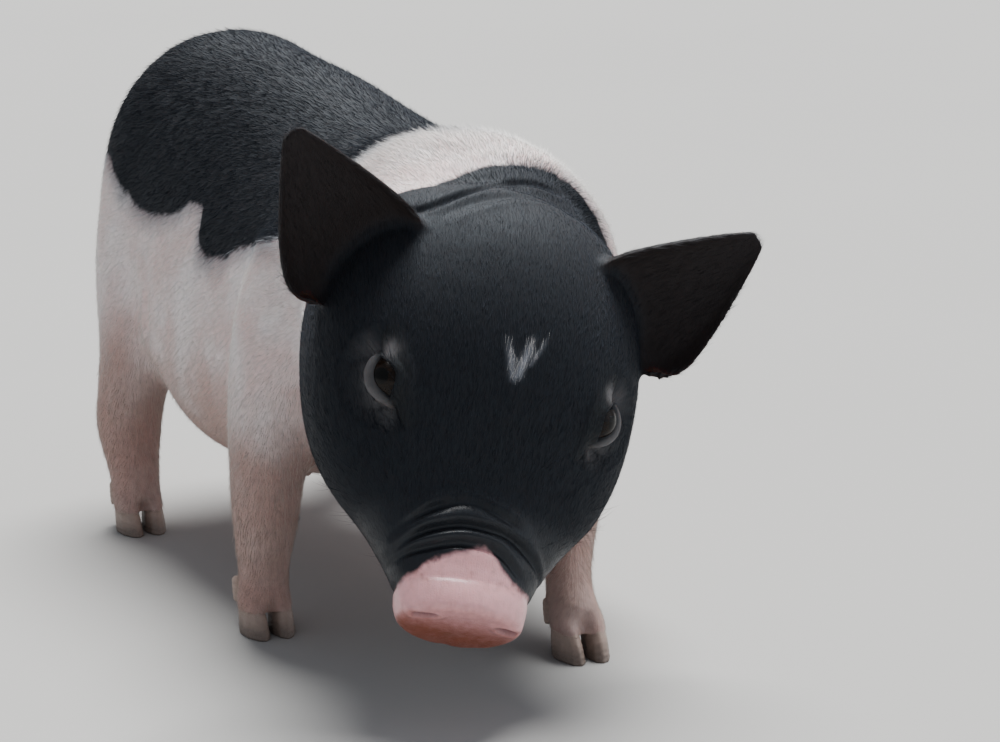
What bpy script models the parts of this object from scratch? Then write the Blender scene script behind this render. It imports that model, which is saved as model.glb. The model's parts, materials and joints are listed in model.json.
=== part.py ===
"""A still, life-size model of a young domestic pig that sniffs the ground with its head held low.

Metres, +Z up. The pig faces -Y and its left side is at +X. Its flesh is modelled whole, from lofted
masses that a voxel remesh joins, and is then parted into its named pieces by thin cuts. The ears, eyes,
claws and tail are solids of their own that meet the flesh across the same thin gap.
"""

import math

import bmesh
import bpy
import numpy as np
from mathutils import Euler, Matrix, Vector

MM = 0.001
GAP = 0.3 * MM
VOXEL = 1.4 * MM
HEAD_SMOOTHING = 8
BODY_SMOOTHING = 40
# The body is smoothed behind this y and above this height; each is followed by the distance it fades in.
BODY_BEHIND = (-105 * MM, 25 * MM)
BODY_ABOVE = (20 * MM, 20 * MM)
FLESH_TRIANGLES = 6300

# Where the head is, and how it is held: turned to the pig's right, left ear lower, nose down.
HEAD_CENTRE = Vector((-23, -123.5, 80)) * MM
HEAD_TURN = math.radians(-14)
HEAD_TILT = math.radians(15)
HEAD_NOD = math.radians(50)
HEAD = (
    Matrix.Translation(HEAD_CENTRE)
    @ Matrix.Rotation(HEAD_TURN, 4, "Z")
    @ Matrix.Rotation(HEAD_TILT, 4, "Y")
    @ Matrix.Rotation(HEAD_NOD, 4, "X")
)

# Torso sections from the tail end to the front of the chest, in mm: x, y, height of the widest level,
# height above it, depth below it, half width, fullness above, fullness below.
TORSO = (
    (2, 118, 114, 16, 18, 15, 2.0, 2.0),
    (2, 112, 112, 39, 36, 36, 2.1, 2.1),
    (1, 95, 104, 60, 46, 48.5, 2.1, 2.2),
    (0, 64, 90, 72, 48, 51.5, 2.0, 2.5),
    (0, 25, 75, 83, 44, 55, 2.0, 2.9),
    (0, -15, 75, 75, 43, 56, 2.0, 2.9),
    (-1, -50, 85, 61.5, 47, 56, 2.0, 2.5),
    (-2, -76, 94, 56.5, 45, 57, 2.0, 2.1),
    (-3, -93, 97, 46, 38, 47, 2.0, 2.0),
    (-4, -106, 97, 26, 24, 26, 2.0, 2.0),
)

# Neck sections in the same columns, from inside the chest to inside the skull.
NECK = (
    (-3, -50, 98, 44, 40, 45, 2.1, 2.1),
    (-7, -75, 100, 46, 42, 47, 2.1, 2.1),
    (-12, -95, 102, 42, 42, 46, 2.1, 2.1),
    (-15, -110, 102, 34, 38, 40, 2.0, 2.0),
)

# Skull and upper muzzle, then lower jaw, in the head's own frame: distance forward of its centre,
# height of the widest level, height above it, depth below it, half width, fullness above and below.
SKULL = (
    (-63, 0, 12, 14, 16, 2.0, 2.0),
    (-56, 0, 26, 27, 34, 2.0, 2.0),
    (-45, 0, 35, 35, 44, 2.1, 2.1),
    (-30, 0, 40, 40, 48.5, 2.1, 2.1),
    (-12, 0, 40, 41, 49.5, 2.2, 2.2),
    (5, 0, 36, 38, 48, 2.2, 2.2),
    (20, 0, 28, 31, 44.5, 2.2, 2.2),
    (33, 0, 20, 23, 38.5, 2.2, 2.2),
    (45, 0, 14.5, 17, 28.5, 2.2, 2.2),
    (57, 0, 12, 14, 20.5, 2.2, 2.2),
    (65, 0, 12.5, 14, 18, 2.2, 2.2),
)
JAW = (
    (-34, -16, 16, 16, 26, 2.0, 2.0),
    (-20, -19, 22, 23, 37, 2.0, 2.0),
    (0, -21, 20, 21, 36, 2.0, 2.0),
    (20, -22, 15, 16, 29, 2.0, 2.0),
    (35, -20, 10, 11.5, 20.5, 2.0, 2.0),
    (47, -17.5, 6.5, 7.5, 13, 2.0, 2.0),
    (54, -16.5, 3, 3.5, 6, 2.0, 2.0),
)

# Skin rolls over the muzzle: distance forward, thickness, half angle of the arc.
MUZZLE_ROLLS = ((41, 3.2, 50), (47.5, 3.0, 56), (53.5, 2.6, 58))
# How far a roll is sunk, how much thinner its ends are, both as shares, and how far they sweep back.
ROLL_SINK = 0.25
ROLL_FADE = 0.5
ROLL_SWEEP = 5

# Snout disc in the head's frame, the nostrils in it, and the plane behind it where the snout is parted.
DISC_CENTRE = (0, -66, -1.5)
DISC_RADII = (19.5, 5, 14.5)
# Turn of the disc and its nostrils, the left edge down, in degrees.
DISC_ROLL = 4.5
NOSTRIL_CENTRE = (12, -71, 3.2)
NOSTRIL_RADII = (3.3, 7, 2.6)
SNOUT_CUT = 60.5

# Line where the lips meet, on the left side of the head's frame, with the half height of its groove.
MOUTH_LINE = (
    (2, -56, -18.5, 1.1),
    (9, -52, -16.5, 1.2),
    (16.5, -43, -14.5, 1.3),
    (23.5, -32, -13.5, 1.2),
    (29.5, -22, -13.5, 1.0),
)

# Right eye in the head's frame, in mm; the left one is its mirror image.
EYE_RADIUS = 7.8
EYE_SURFACE = Vector((-33, -12, 24))
EYE_AXIS = Vector((-0.70, -0.34, 0.63)).normalized()
EYE_SINK = 6.9
LID_LENGTH = 12.5
LID_HEIGHT = 7.0
# Masses round the eye, in its own frame: centre and half sizes of the lids, then of the brow.
LIDS = ((0, 0, 0.4), (12, 10, 9.2))
BROW = ((-3, -7, 0), (14, 6, 7.5))
# Opening between the lids: distance out from the middle of the eye, and its size there.
LID_FLARE = ((2.0, 0.86), (6.0, 0.95), (11.0, 1.15), (15.0, 1.4))

# Right ear in the head's frame, in mm: where its base is, where it points and where its cup opens.
EAR_BASE = Vector((-37.5, 22, 24.5))
EAR_AXIS = Vector((-0.70, 0.50, 0.52)).normalized()
EAR_OPENING = Vector((-0.15, -0.60, 0.80))
# Distance along the ear, reach of its outer edge, reach of its inner edge, depth of its cup, thickness.
EAR = (
    (-29, 4, -6, 2, 3.4),
    (-18, 5, -11, 4, 3.4),
    (-9, 8, -15, 7, 3.2),
    (-4, 16.5, -16.5, 8, 3.0),
    (1, 22.3, -17, 9, 2.9),
    (8, 23, -16.5, 9, 2.6),
    (17, 19.8, -13.6, 7, 2.3),
    (28, 13.8, -9, 4.5, 2.1),
    (37, 8.2, -4.8, 2.2, 1.9),
    (43.5, 3.8, -1.4, 0.6, 1.7),
)

# Limb paths from the body down: x, y, z, half width, half depth.
FORELEG_RIGHT = (
    (-37, -64, 112, 22, 28),
    (-47, -60, 88, 18, 27),
    (-53, -58, 68, 14.5, 19),
    (-56, -59, 52, 12.5, 15),
    (-57.5, -60, 36, 11, 12.5),
    (-58, -59, 20, 8.4, 9.2),
    (-58.5, -60, 8, 8.2, 9.4),
)
FORELEG_LEFT = (
    (30, -72, 112, 20, 28),
    (37, -75, 88, 17, 27),
    (40, -81, 68, 14.5, 19),
    (34.5, -89, 52, 12, 14.5),
    (25.5, -98, 37, 9.8, 11),
    (15.5, -114, 19.5, 7.2, 8.2),
    (12.5, -124.5, 8, 8.0, 9.2),
)
HINDLEG_RIGHT = (
    (-28, 82, 112, 22, 34),
    (-37, 78, 86, 18, 30),
    (-44, 72, 62, 14, 20),
    (-47.5, 71, 46, 12.5, 14.5),
    (-49, 71, 34, 12, 13),
    (-50, 65, 20, 9.2, 10.5),
    (-51, 60, 8, 8.4, 9.6),
)
HINDLEG_LEFT = (
    (30, 86, 112, 22, 34),
    (40, 85, 86, 18, 30),
    (46, 82, 62, 14, 20),
    (48, 88, 46, 12.5, 14.5),
    (49, 93, 34, 12, 13),
    (49, 87, 20, 9.2, 10.5),
    (49, 83, 8, 8.4, 9.6),
)

# Each limb, and the way its foot points, in degrees from straight ahead.
LIMBS = {
    "foreleg_right": (FORELEG_RIGHT, -6),
    "foreleg_left": (FORELEG_LEFT, -8),
    "hindleg_right": (HINDLEG_RIGHT, -4),
    "hindleg_left": (HINDLEG_LEFT, 4),
}
# Cuts across a limb: its station, the piece below the cut, and how far above the station it lies.
LIMB_CUTS = ((4, "lower", 12), (5, "foot", 0))
# Room that a limb's own region keeps round it, and what the shoulder or ham adds across and along.
LIMB_ROOM = 3.4
SHOULDER_ROOM = (6, 3)

# Claws: length, width and height, then place beside and ahead of the last station, and their lean.
CLAW = (16, 7.6, 10.5)
CLAW_PLACE = (4.2, -4.2, 0)
CLAW_SPLAY = 6
DEWCLAW = (4.8, 4.2, 7.5)
DEWCLAW_PLACE = (4.6, 8.4, 7)
DEWCLAW_LEAN = 20

# Cuts across the trunk: the piece ahead of the cut, its centre, turn and lean in degrees.
TRUNK_CUTS = (("neck", (-8, -88, 95), -8, 7), ("head", (-14, -104, 95), -13, 8))

# Shoulder and ham masses: centre, half sizes.
MASSES = (
    ((-27, 80, 96), (24.5, 36, 46)),
    ((28, 83, 96), (24.5, 36, 46)),
    ((-36, -60, 90), (23.5, 33, 42)),
    ((30, -74, 90), (22, 33, 42)),
)

# Roll of skin behind the crown: centre, half sizes, and its lean in degrees.
NECK_ROLL = ((-13, -103, 96), (45, 14, 42), (12, 10, -12))

# Tail path with its radius, and the station where it is parted.
TAIL = (
    (2, 104, 132, 6.5),
    (3, 114, 131, 5.2),
    (5, 122, 125, 4.2),
    (7, 126, 115, 3.4),
    (8, 126, 104, 2.8),
    (8, 123, 94, 2.3),
    (6, 120, 85, 1.8),
)
TAIL_CUT = 3

# Colour and roughness of each material.
COLOURS = {
    "black_skin": (0.018, 0.017, 0.019, 0.55),
    "white_skin": (0.72, 0.55, 0.50, 0.6),
    "snout_skin": (0.62, 0.25, 0.21, 0.4),
    "claw": (0.30, 0.22, 0.18, 0.45),
    "eye": (0.012, 0.008, 0.006, 0.08),
}


def clear_scene():
    for obj in list(bpy.data.objects):
        bpy.data.objects.remove(obj, do_unlink=True)


def linked(name, mesh):
    obj = bpy.data.objects.new(name, mesh)
    bpy.context.scene.collection.objects.link(obj)
    return obj


def through(rows, per_span):
    """Smooth rows between the rows of a table, which it also passes through."""
    rows = np.array(rows, float)
    ends = np.vstack([2 * rows[0] - rows[1], rows, 2 * rows[-1] - rows[-2]])
    found = []
    for i in range(len(rows) - 1):
        a, b, c, d = ends[i : i + 4]
        for t in np.arange(per_span) / per_span:
            bend = (2 * a - 5 * b + 4 * c - d) * t**2 + (3 * b - a - 3 * c + d) * t**3
            found.append(0.5 * (2 * b + (c - a) * t + bend))
    found.append(rows[-1])
    return np.array(found)


def oval(centre, side, up, half_width, above, below, fullness, count=32):
    """A closed ring of points, rounder or squarer above and below its widest level."""
    points = []
    for k in range(count):
        c, s = math.cos(2 * math.pi * k / count), math.sin(2 * math.pi * k / count)
        power = 2 / fullness[0 if s > 0 else 1]
        x = half_width * math.copysign(abs(c) ** power, c)
        z = (above if s > 0 else below) * math.copysign(abs(s) ** power, s)
        points.append(Vector(centre) + Vector(side) * x + Vector(up) * z)
    return points


def faded(value, start, distance):
    """From 0 at a start to 1 a distance further on."""
    return min(max((value - start) / distance, 0), 1)


def loft(name, rings):
    """A closed surface over rings of equal count, capped at both ends."""
    count = len(rings[0])
    points = [p for ring in rings for p in ring]
    faces = [tuple(range(count)), tuple(range(len(points) - count, len(points)))]
    for r in range(len(rings) - 1):
        for k in range(count):
            a, b = r * count + k, r * count + (k + 1) % count
            faces.append((a, b, b + count, a + count))
    mesh = bpy.data.meshes.new(name)
    mesh.from_pydata(points, [], faces)
    bm = bmesh.new()
    bm.from_mesh(mesh)
    bmesh.ops.recalc_face_normals(bm, faces=bm.faces)
    bmesh.ops.triangulate(bm, faces=bm.faces)
    bm.to_mesh(mesh)
    bm.free()
    return linked(name, mesh)


def trunk_loft(name, sections):
    rows = through(sections, 5)
    rings = []
    for i, row in enumerate(rows):
        ahead = rows[min(i + 1, len(rows) - 1)] - rows[max(i - 1, 0)]
        heading = Vector((ahead[0], ahead[1], 0)).normalized()
        side = Vector((-heading.y, heading.x, 0))
        x, y, z, above, below, half = row[:6] * MM
        rings.append(oval((x, y, z), side, (0, 0, 1), half, above, below, row[6:]))
    return loft(name, rings)


def head_loft(name, sections):
    rings = []
    for row in through(sections, 5):
        forward, level, above, below, half = row[:5] * MM
        ring = oval((0, -forward, level), (1, 0, 0), (0, 0, 1), half, above, below, row[5:])
        rings.append([HEAD @ p for p in ring])
    return loft(name, rings)


def limb_loft(name, stations, count=24, per_span=5):
    rows = through(stations, per_span)
    rings = []
    for i, row in enumerate(rows):
        along = Vector(rows[min(i + 1, len(rows) - 1)][:3] - rows[max(i - 1, 0)][:3]).normalized()
        side = (Vector((1, 0, 0)) - along * along.x).normalized()
        centre = Vector(row[:3]) * MM
        width, depth = row[3] * MM, row[4] * MM
        rings.append(oval(centre, side, along.cross(side), width, depth, depth, (2, 2), count))
    return loft(name, rings)


def ellipsoid(name, centre, radii, matrix=None, segments=32, rings=20):
    bpy.ops.mesh.primitive_uv_sphere_add(segments=segments, ring_count=rings, radius=1)
    obj = bpy.context.object
    obj.name = name
    place = Matrix.Translation(Vector(centre) * MM) @ Matrix.Diagonal((*(Vector(radii) * MM), 1))
    obj.data.transform((matrix or Matrix()) @ place)
    return obj


def block(name, size, matrix):
    bpy.ops.mesh.primitive_cube_add(size=1)
    obj = bpy.context.object
    obj.name = name
    obj.data.transform(matrix @ Matrix.Diagonal((*(Vector(size) * MM), 1)))
    return obj


def mirrored(point, side):
    """A point or direction of the pig's right side, or its mirror image on the left."""
    return Vector((point.x * side, point.y, point.z))


def applied(obj):
    """Bake the modifiers of an object into its mesh."""
    bpy.context.view_layer.update()
    graph = bpy.context.evaluated_depsgraph_get()
    obj.data = bpy.data.meshes.new_from_object(obj.evaluated_get(graph))
    obj.modifiers.clear()
    return obj


def copied(obj, name):
    return linked(name, obj.data.copy())


def boolean(obj, other, operation, solver="EXACT"):
    modifier = obj.modifiers.new("Cut", "BOOLEAN")
    modifier.object = other
    modifier.operation = operation
    modifier.solver = solver
    return applied(obj)


def largest_surface(obj):
    """Keep only the largest closed surface of an object."""
    bm = bmesh.new()
    bm.from_mesh(obj.data)
    bmesh.ops.remove_doubles(bm, verts=bm.verts, dist=0.00002)
    bmesh.ops.dissolve_degenerate(bm, dist=0.00001, edges=bm.edges)
    left = set(bm.faces)
    groups = []
    while left:
        seed = left.pop()
        group, queue = {seed}, [seed]
        while queue:
            for edge in queue.pop().edges:
                for face in edge.link_faces:
                    if face in left:
                        left.discard(face)
                        group.add(face)
                        queue.append(face)
        groups.append(group)
    groups.sort(key=lambda group: sum(face.calc_area() for face in group))
    bmesh.ops.delete(bm, geom=[face for group in groups[:-1] for face in group], context="FACES")
    bmesh.ops.triangulate(bm, faces=bm.faces)
    bm.to_mesh(obj.data)
    bm.free()
    return obj


def grown(obj, name, distance):
    """A copy with every face moved out by a distance."""
    swollen = copied(obj, name)
    bm = bmesh.new()
    bm.from_mesh(swollen.data)
    bm.normal_update()
    steps = [vert.normal * distance * min(vert.calc_shell_factor(), 1.8) for vert in bm.verts]
    for vert, step in zip(bm.verts, steps):
        vert.co += step
    bm.to_mesh(swollen.data)
    bm.free()
    return swollen


def parted(whole, region, name):
    """Take the piece of a solid inside a region, and leave the rest of it a thin gap away."""
    piece = boolean(copied(whole, name), region, "INTERSECT")
    wider = grown(region, "region", GAP)
    boolean(whole, wider, "DIFFERENCE")
    largest_surface(whole)
    bpy.data.objects.remove(wider)
    bpy.data.objects.remove(region)
    return largest_surface(piece)


def fused(name, objects):
    """One closed, smooth surface over objects that overlap."""
    bm = bmesh.new()
    for obj in objects:
        bm.from_mesh(obj.data)
        bpy.data.objects.remove(obj)
    mesh = bpy.data.meshes.new(name)
    bm.to_mesh(mesh)
    bm.free()
    whole = linked(name, mesh)
    remesh = whole.modifiers.new("Remesh", "REMESH")
    remesh.mode = "VOXEL"
    remesh.voxel_size = VOXEL
    applied(whole)
    body = whole.vertex_groups.new(name="body")
    for vert in whole.data.vertices:
        weight = faded(vert.co.y, *BODY_BEHIND) * faded(vert.co.z, *BODY_ABOVE)
        body.add([vert.index], weight, "REPLACE")
    for group, rounds in (("", HEAD_SMOOTHING), ("body", BODY_SMOOTHING)):
        smooth = whole.modifiers.new("Smooth", "SMOOTH")
        smooth.factor = 0.5
        smooth.iterations = rounds
        smooth.vertex_group = group
    applied(whole)
    whole.vertex_groups.clear()
    whole.data.calc_loop_triangles()
    reduce = whole.modifiers.new("Decimate", "DECIMATE")
    reduce.ratio = FLESH_TRIANGLES / len(whole.data.loop_triangles)
    return largest_surface(applied(whole))


def muzzle_roll(number, forward, thickness, half_angle):
    """A roll of skin laid as an arc over the top of the muzzle, half sunk in it, its ends swept back."""
    rows = through(SKULL, 12)
    row = rows[np.argmin(np.abs(rows[:, 0] - forward))]
    half_width, height = row[4], row[2]
    stations = []
    for angle in np.radians(np.linspace(-half_angle, half_angle, 9)):
        out = Vector((half_width * math.sin(angle), 0, height * math.cos(angle)))
        out -= out.normalized() * thickness * ROLL_SINK
        depth = thickness * (1 - ROLL_FADE * (angle / math.radians(half_angle)) ** 2)
        point = Vector((out.x, -forward + ROLL_SWEEP * math.sin(angle) ** 2, out.z))
        stations.append((*(HEAD @ (point * MM) / MM), depth, depth))
    return limb_loft(f"muzzle_roll_{number}", stations, 12)


def eye_frame(side):
    """Frame of an eye: +Z out through its pupil, +X along the lid opening toward the snout."""
    out = mirrored(EYE_AXIS, side)
    centre = mirrored(EYE_SURFACE, side) - out * EYE_SINK
    along = (Vector((0, -1, 0.12)) - out * out.dot(Vector((0, -1, 0.12)))).normalized()
    frame = Matrix((along, out.cross(along), out)).transposed().to_4x4()
    frame.translation = centre * MM
    return HEAD @ frame


def lid_masses(side):
    """Brow and lids that close over the eyeball."""
    frame = eye_frame(side)
    x, y, z = BROW[0]
    return [ellipsoid("lids", *LIDS, frame), ellipsoid("brow", (x, side * y, z), BROW[1], frame)]


def lid_opening(side):
    frame = eye_frame(side)
    rings = []
    for depth, spread in LID_FLARE:
        half_length, half_height = LID_LENGTH / 2 * spread * MM, LID_HEIGHT / 2 * spread * MM
        place = (0, 0, depth * MM)
        ring = oval(place, (1, 0, 0), (0, 1, 0), half_length, half_height, half_height, (1.5, 1.5), 20)
        rings.append([frame @ p for p in ring])
    return loft("opening", rings)


def cut_eye(flesh, side, name):
    """Cut the socket and the opening between the lids, and return the eyeball that fills the socket."""
    frame = eye_frame(side)
    boolean(flesh, lid_opening(side), "DIFFERENCE")
    ball = ellipsoid(name, (0, 0, 0), (EYE_RADIUS,) * 3, frame, 14, 9)
    socket_radius = EYE_RADIUS + GAP / MM * 1.05
    socket = ellipsoid("socket", (0, 0, 0), (socket_radius,) * 3, frame, 14, 9)
    boolean(flesh, socket, "DIFFERENCE")
    return largest_surface(ball)


def disc_frame():
    """The head's frame, rolled about the middle of the snout disc."""
    middle = Matrix.Translation(Vector(DISC_CENTRE) * MM)
    return HEAD @ middle @ Matrix.Rotation(math.radians(DISC_ROLL), 4, "Y") @ middle.inverted()


def cut_nostrils(flesh):
    for side in (-1, 1):
        centre = mirrored(Vector(NOSTRIL_CENTRE), side)
        boolean(flesh, ellipsoid("nostril", centre, NOSTRIL_RADII, disc_frame(), 16, 10), "DIFFERENCE")


def mouth_groove(side):
    """A thin curved rod along the line where the lips meet."""
    stations = []
    for x, y, z, radius in MOUTH_LINE:
        stations.append((*(HEAD @ (Vector((side * x, y, z)) * MM) / MM), radius, radius * 1.6))
    return limb_loft("mouth", stations, 8, 2)


def ear(name, side):
    """A cupped leaf of skin, thick at its base and thin at its rim."""
    axis = mirrored(EAR_AXIS, side)
    opening = mirrored(EAR_OPENING, side)
    opening = (opening - axis * opening.dot(axis)).normalized()
    across = axis.cross(opening) * -side
    base = mirrored(EAR_BASE, side)
    rings = []
    for along, outer, inner, cup, thickness in through(EAR, 2):
        front, back = [], []
        for t in np.linspace(-1, 1, 7):
            reach = (outer - inner) / 2 * math.sin(t * math.pi / 2) + (outer + inner) / 2
            depth = cup * (1 - t * t)
            rim = 0.55 + 0.45 * (1 - t * t) ** 0.5
            point = base + axis * along + across * reach - opening * depth
            front.append(HEAD @ (point * MM))
            back.append(HEAD @ ((point - opening * thickness * rim) * MM))
        rings.append(front + back[::-1])
    return loft(name, rings)


def claw(name, place, length, width, height):
    """A horn-covered toe: a flat sole, a sloping front wall and a rounded heel."""
    rings = []
    for up, shift, size in ((0.0, 0.0, 1.0), (0.5, 0.1, 0.9), (1.0, 0.24, 0.68)):
        ring = []
        for k in range(10):
            angle = 2 * math.pi * k / 10
            y = math.cos(angle) * length / 2
            x = math.sin(angle) * width / 2 * (1 - 0.2 * max(-math.cos(angle), 0))
            ring.append(place @ Vector((x * size * MM, (y * size + shift * length) * MM, up * height * MM)))
        rings.append(ring)
    return loft(name, rings)


def foot_claws(prefix, station, heading):
    """Two main claws and two dewclaws under the last station of a limb."""
    x, y = station[:2]
    turn = Matrix.Rotation(math.radians(heading), 4, "Z")
    at = Matrix.Translation(Vector((x, y, 0)) * MM) @ turn
    found = []
    for side, label in ((-1, "right"), (1, "left")):
        splay = Matrix.Rotation(math.radians(side * -CLAW_SPLAY), 4, "Z")
        toe = at @ Matrix.Translation(mirrored(Vector(CLAW_PLACE), side) * MM) @ splay
        found.append(claw(f"{prefix}_claw_{label}", toe, *CLAW))
        lean = Matrix.Rotation(math.radians(-DEWCLAW_LEAN), 4, "X")
        spur = at @ Matrix.Translation(mirrored(Vector(DEWCLAW_PLACE), side) * MM) @ lean
        found.append(claw(f"{prefix}_dewclaw_{label}", spur, *DEWCLAW))
    return found


def leg_region(stations):
    """Space round a limb: close to it low down, wide where it takes in the shoulder or the ham."""
    rows = [list(row) for row in stations]
    for row in rows:
        spread = faded(row[2], 50, 40)
        row[3] += LIMB_ROOM + SHOULDER_ROOM[0] * spread
        row[4] += LIMB_ROOM + SHOULDER_ROOM[1] * spread
    x, y, z, width, depth = rows[0]
    crown = [(x, y, z + 7, width * 0.3, depth * 0.3), (x, y, z - 1, width * 0.85, depth * 0.85)]
    x, y, z, width, depth = rows[-1]
    low = (x, y + (y - rows[-2][1]) * 0.6, -6, width + 6, depth + 6)
    return limb_loft("leg_region", [*crown, *rows[1:], low], 12, 2)


def slice_frame(stations, index):
    """Frame across a limb at one of its stations, with +Z up along the limb."""
    upper, lower = Vector(stations[index - 1][:3]), Vector(stations[index + 1][:3])
    along = (upper - lower).normalized()
    side = (Vector((1, 0, 0)) - along * along.x).normalized()
    frame = Matrix((side, along.cross(side), along)).transposed().to_4x4()
    frame.translation = Vector(stations[index][:3]) * MM
    return frame


def cut_leg(flesh, prefix, stations, found):
    """Part a limb from the body, then part it at its two joints."""
    leg = parted(flesh, leg_region(stations), f"{prefix}_upper")
    for index, label, rise in LIMB_CUTS:
        size = 90
        middle = Matrix.Translation((0, 0, (rise - size / 2) * MM))
        below = block("below", (size, size, size), slice_frame(stations, index) @ middle)
        piece = parted(leg, below, f"{prefix}_{label}")
        found.append(leg)
        leg = piece
    found.append(leg)


def flesh_masses():
    masses = [trunk_loft("torso", TORSO), trunk_loft("neck", NECK)]
    masses += [head_loft("skull", SKULL), head_loft("jaw", JAW)]
    masses += [ellipsoid(f"mass_{n}", centre, radii) for n, (centre, radii) in enumerate(MASSES)]
    centre, radii, lean = NECK_ROLL
    turn = Euler([math.radians(angle) for angle in lean]).to_matrix().to_4x4()
    place = Matrix.Translation(Vector(centre) * MM) @ turn
    masses.append(ellipsoid("neck_roll", (0, 0, 0), radii, place))
    masses.append(ellipsoid("disc", DISC_CENTRE, DISC_RADII, disc_frame()))
    masses += [muzzle_roll(n, *roll) for n, roll in enumerate(MUZZLE_ROLLS)]
    for side in (1, -1):
        masses += lid_masses(side)
    masses += [limb_loft(name, stations) for name, (stations, _) in LIMBS.items()]
    return masses


def tail_lengths(flesh):
    """The tail in two lengths that start at the rump."""
    rows = [(x, y, z, r, r) for x, y, z, r in TAIL]
    whole = limb_loft("tail_base", rows, 8, 2)
    wider = grown(flesh, "wider", GAP)
    largest_surface(boolean(whole, wider, "DIFFERENCE"))
    bpy.data.objects.remove(wider)
    size = 60
    middle = Matrix.Translation((Vector(TAIL[TAIL_CUT][:3]) - Vector((0, 0, size / 2))) * MM)
    tip = parted(whole, block("below", (size, size, size), middle), "tail_tip")
    return [whole, tip]


def cut_head(flesh, found):
    """Part the neck and head from the torso, then the head from the neck and the snout from the head."""
    for name, centre, turn, lean in TRUNK_CUTS:
        size = (160, 120, 190)
        frame = Matrix.Translation(Vector(centre) * MM) @ Matrix.Rotation(math.radians(turn), 4, "Z")
        frame = frame @ Matrix.Rotation(math.radians(lean), 4, "X")
        ahead = block("ahead", size, frame @ Matrix.Translation((0, -size[1] / 2 * MM, 0)))
        piece = parted(flesh, ahead, name)
        found.append(flesh)
        flesh = piece
    size = (60, 30, 60)
    tip = block("ahead", size, HEAD @ Matrix.Translation((0, -(SNOUT_CUT + size[1] / 2) * MM, 0)))
    found.append(parted(flesh, tip, "snout"))
    found.append(flesh)


def paint(objects):
    """Give each piece the plain colour of what it is."""
    for obj in objects:
        slot = "white_skin"
        if "claw" in obj.name:
            slot = "claw"
        elif obj.name.startswith("eye"):
            slot = "eye"
        elif obj.name == "snout":
            slot = "snout_skin"
        elif obj.name.startswith(("head", "neck", "ear", "tail")):
            slot = "black_skin"
        material = bpy.data.materials.get(slot) or new_material(slot)
        obj.data.materials.clear()
        obj.data.materials.append(material)


def new_material(slot):
    material = bpy.data.materials.new(slot)
    material.use_nodes = True
    shader = material.node_tree.nodes["Principled BSDF"]
    red, green, blue, roughness = COLOURS[slot]
    shader.inputs["Base Color"].default_value = (red, green, blue, 1)
    shader.inputs["Roughness"].default_value = roughness
    material.diffuse_color = (red, green, blue, 1)
    return material


def gather(objects):
    """Put the pieces in the model's collection, with the origin under the middle of the pig."""
    points = [vert.co for obj in objects for vert in obj.data.vertices]
    low = Vector([min(p[i] for p in points) for i in range(3)])
    high = Vector([max(p[i] for p in points) for i in range(3)])
    shift = Matrix.Translation((-(low.x + high.x) / 2, -(low.y + high.y) / 2, -low.z))
    collection = bpy.data.collections.new("young_pig")
    bpy.context.scene.collection.children.link(collection)
    for obj in objects:
        obj.data.transform(shift)
        obj.data.name = obj.name
        for holder in list(obj.users_collection):
            holder.objects.unlink(obj)
        collection.objects.link(obj)


def main():
    clear_scene()
    flesh = fused("torso", flesh_masses())
    found = []
    cut_nostrils(flesh)
    for side in (1, -1):
        boolean(flesh, mouth_groove(side), "DIFFERENCE")
    found += [cut_eye(flesh, 1, "eye_right"), cut_eye(flesh, -1, "eye_left")]
    largest_surface(flesh)
    wider = grown(flesh, "wider", GAP)
    for side, label in ((1, "right"), (-1, "left")):
        leaf = ear(f"ear_{label}", side)
        found.append(largest_surface(boolean(leaf, wider, "DIFFERENCE")))
    bpy.data.objects.remove(wider)
    found += tail_lengths(flesh)
    for prefix, (stations, heading) in LIMBS.items():
        for horn in foot_claws(prefix, stations[-1], heading):
            wider = grown(horn, "wider", GAP)
            boolean(flesh, wider, "DIFFERENCE")
            bpy.data.objects.remove(wider)
            found.append(largest_surface(horn))
    for prefix, (stations, _) in LIMBS.items():
        cut_leg(flesh, prefix, stations, found)
    cut_head(flesh, found)
    for obj in list(bpy.context.scene.objects):
        if obj not in found:
            bpy.data.objects.remove(obj)
    paint(found)
    gather(found)


main()
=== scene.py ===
"""Looks of a life-size young domestic pig that sniffs the ground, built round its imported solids.

One skin takes the place of the solids of flesh. Over it lies a short coat of bristles, black on the head,
the ears and the rump and white on the rest. The eyes and the claws are pieces of their own. Places and
sizes are in millimetres in the frame of the solids: +Z up, the pig faces -Y and its left side is at +X.
"""

from __future__ import annotations

import json
import logging
import math
from dataclasses import dataclass
from enum import Enum
from typing import Any, Union

import bmesh
import bpy
import numpy as np
from mathutils import Matrix, Vector
from mathutils.bvhtree import BVHTree

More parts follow.
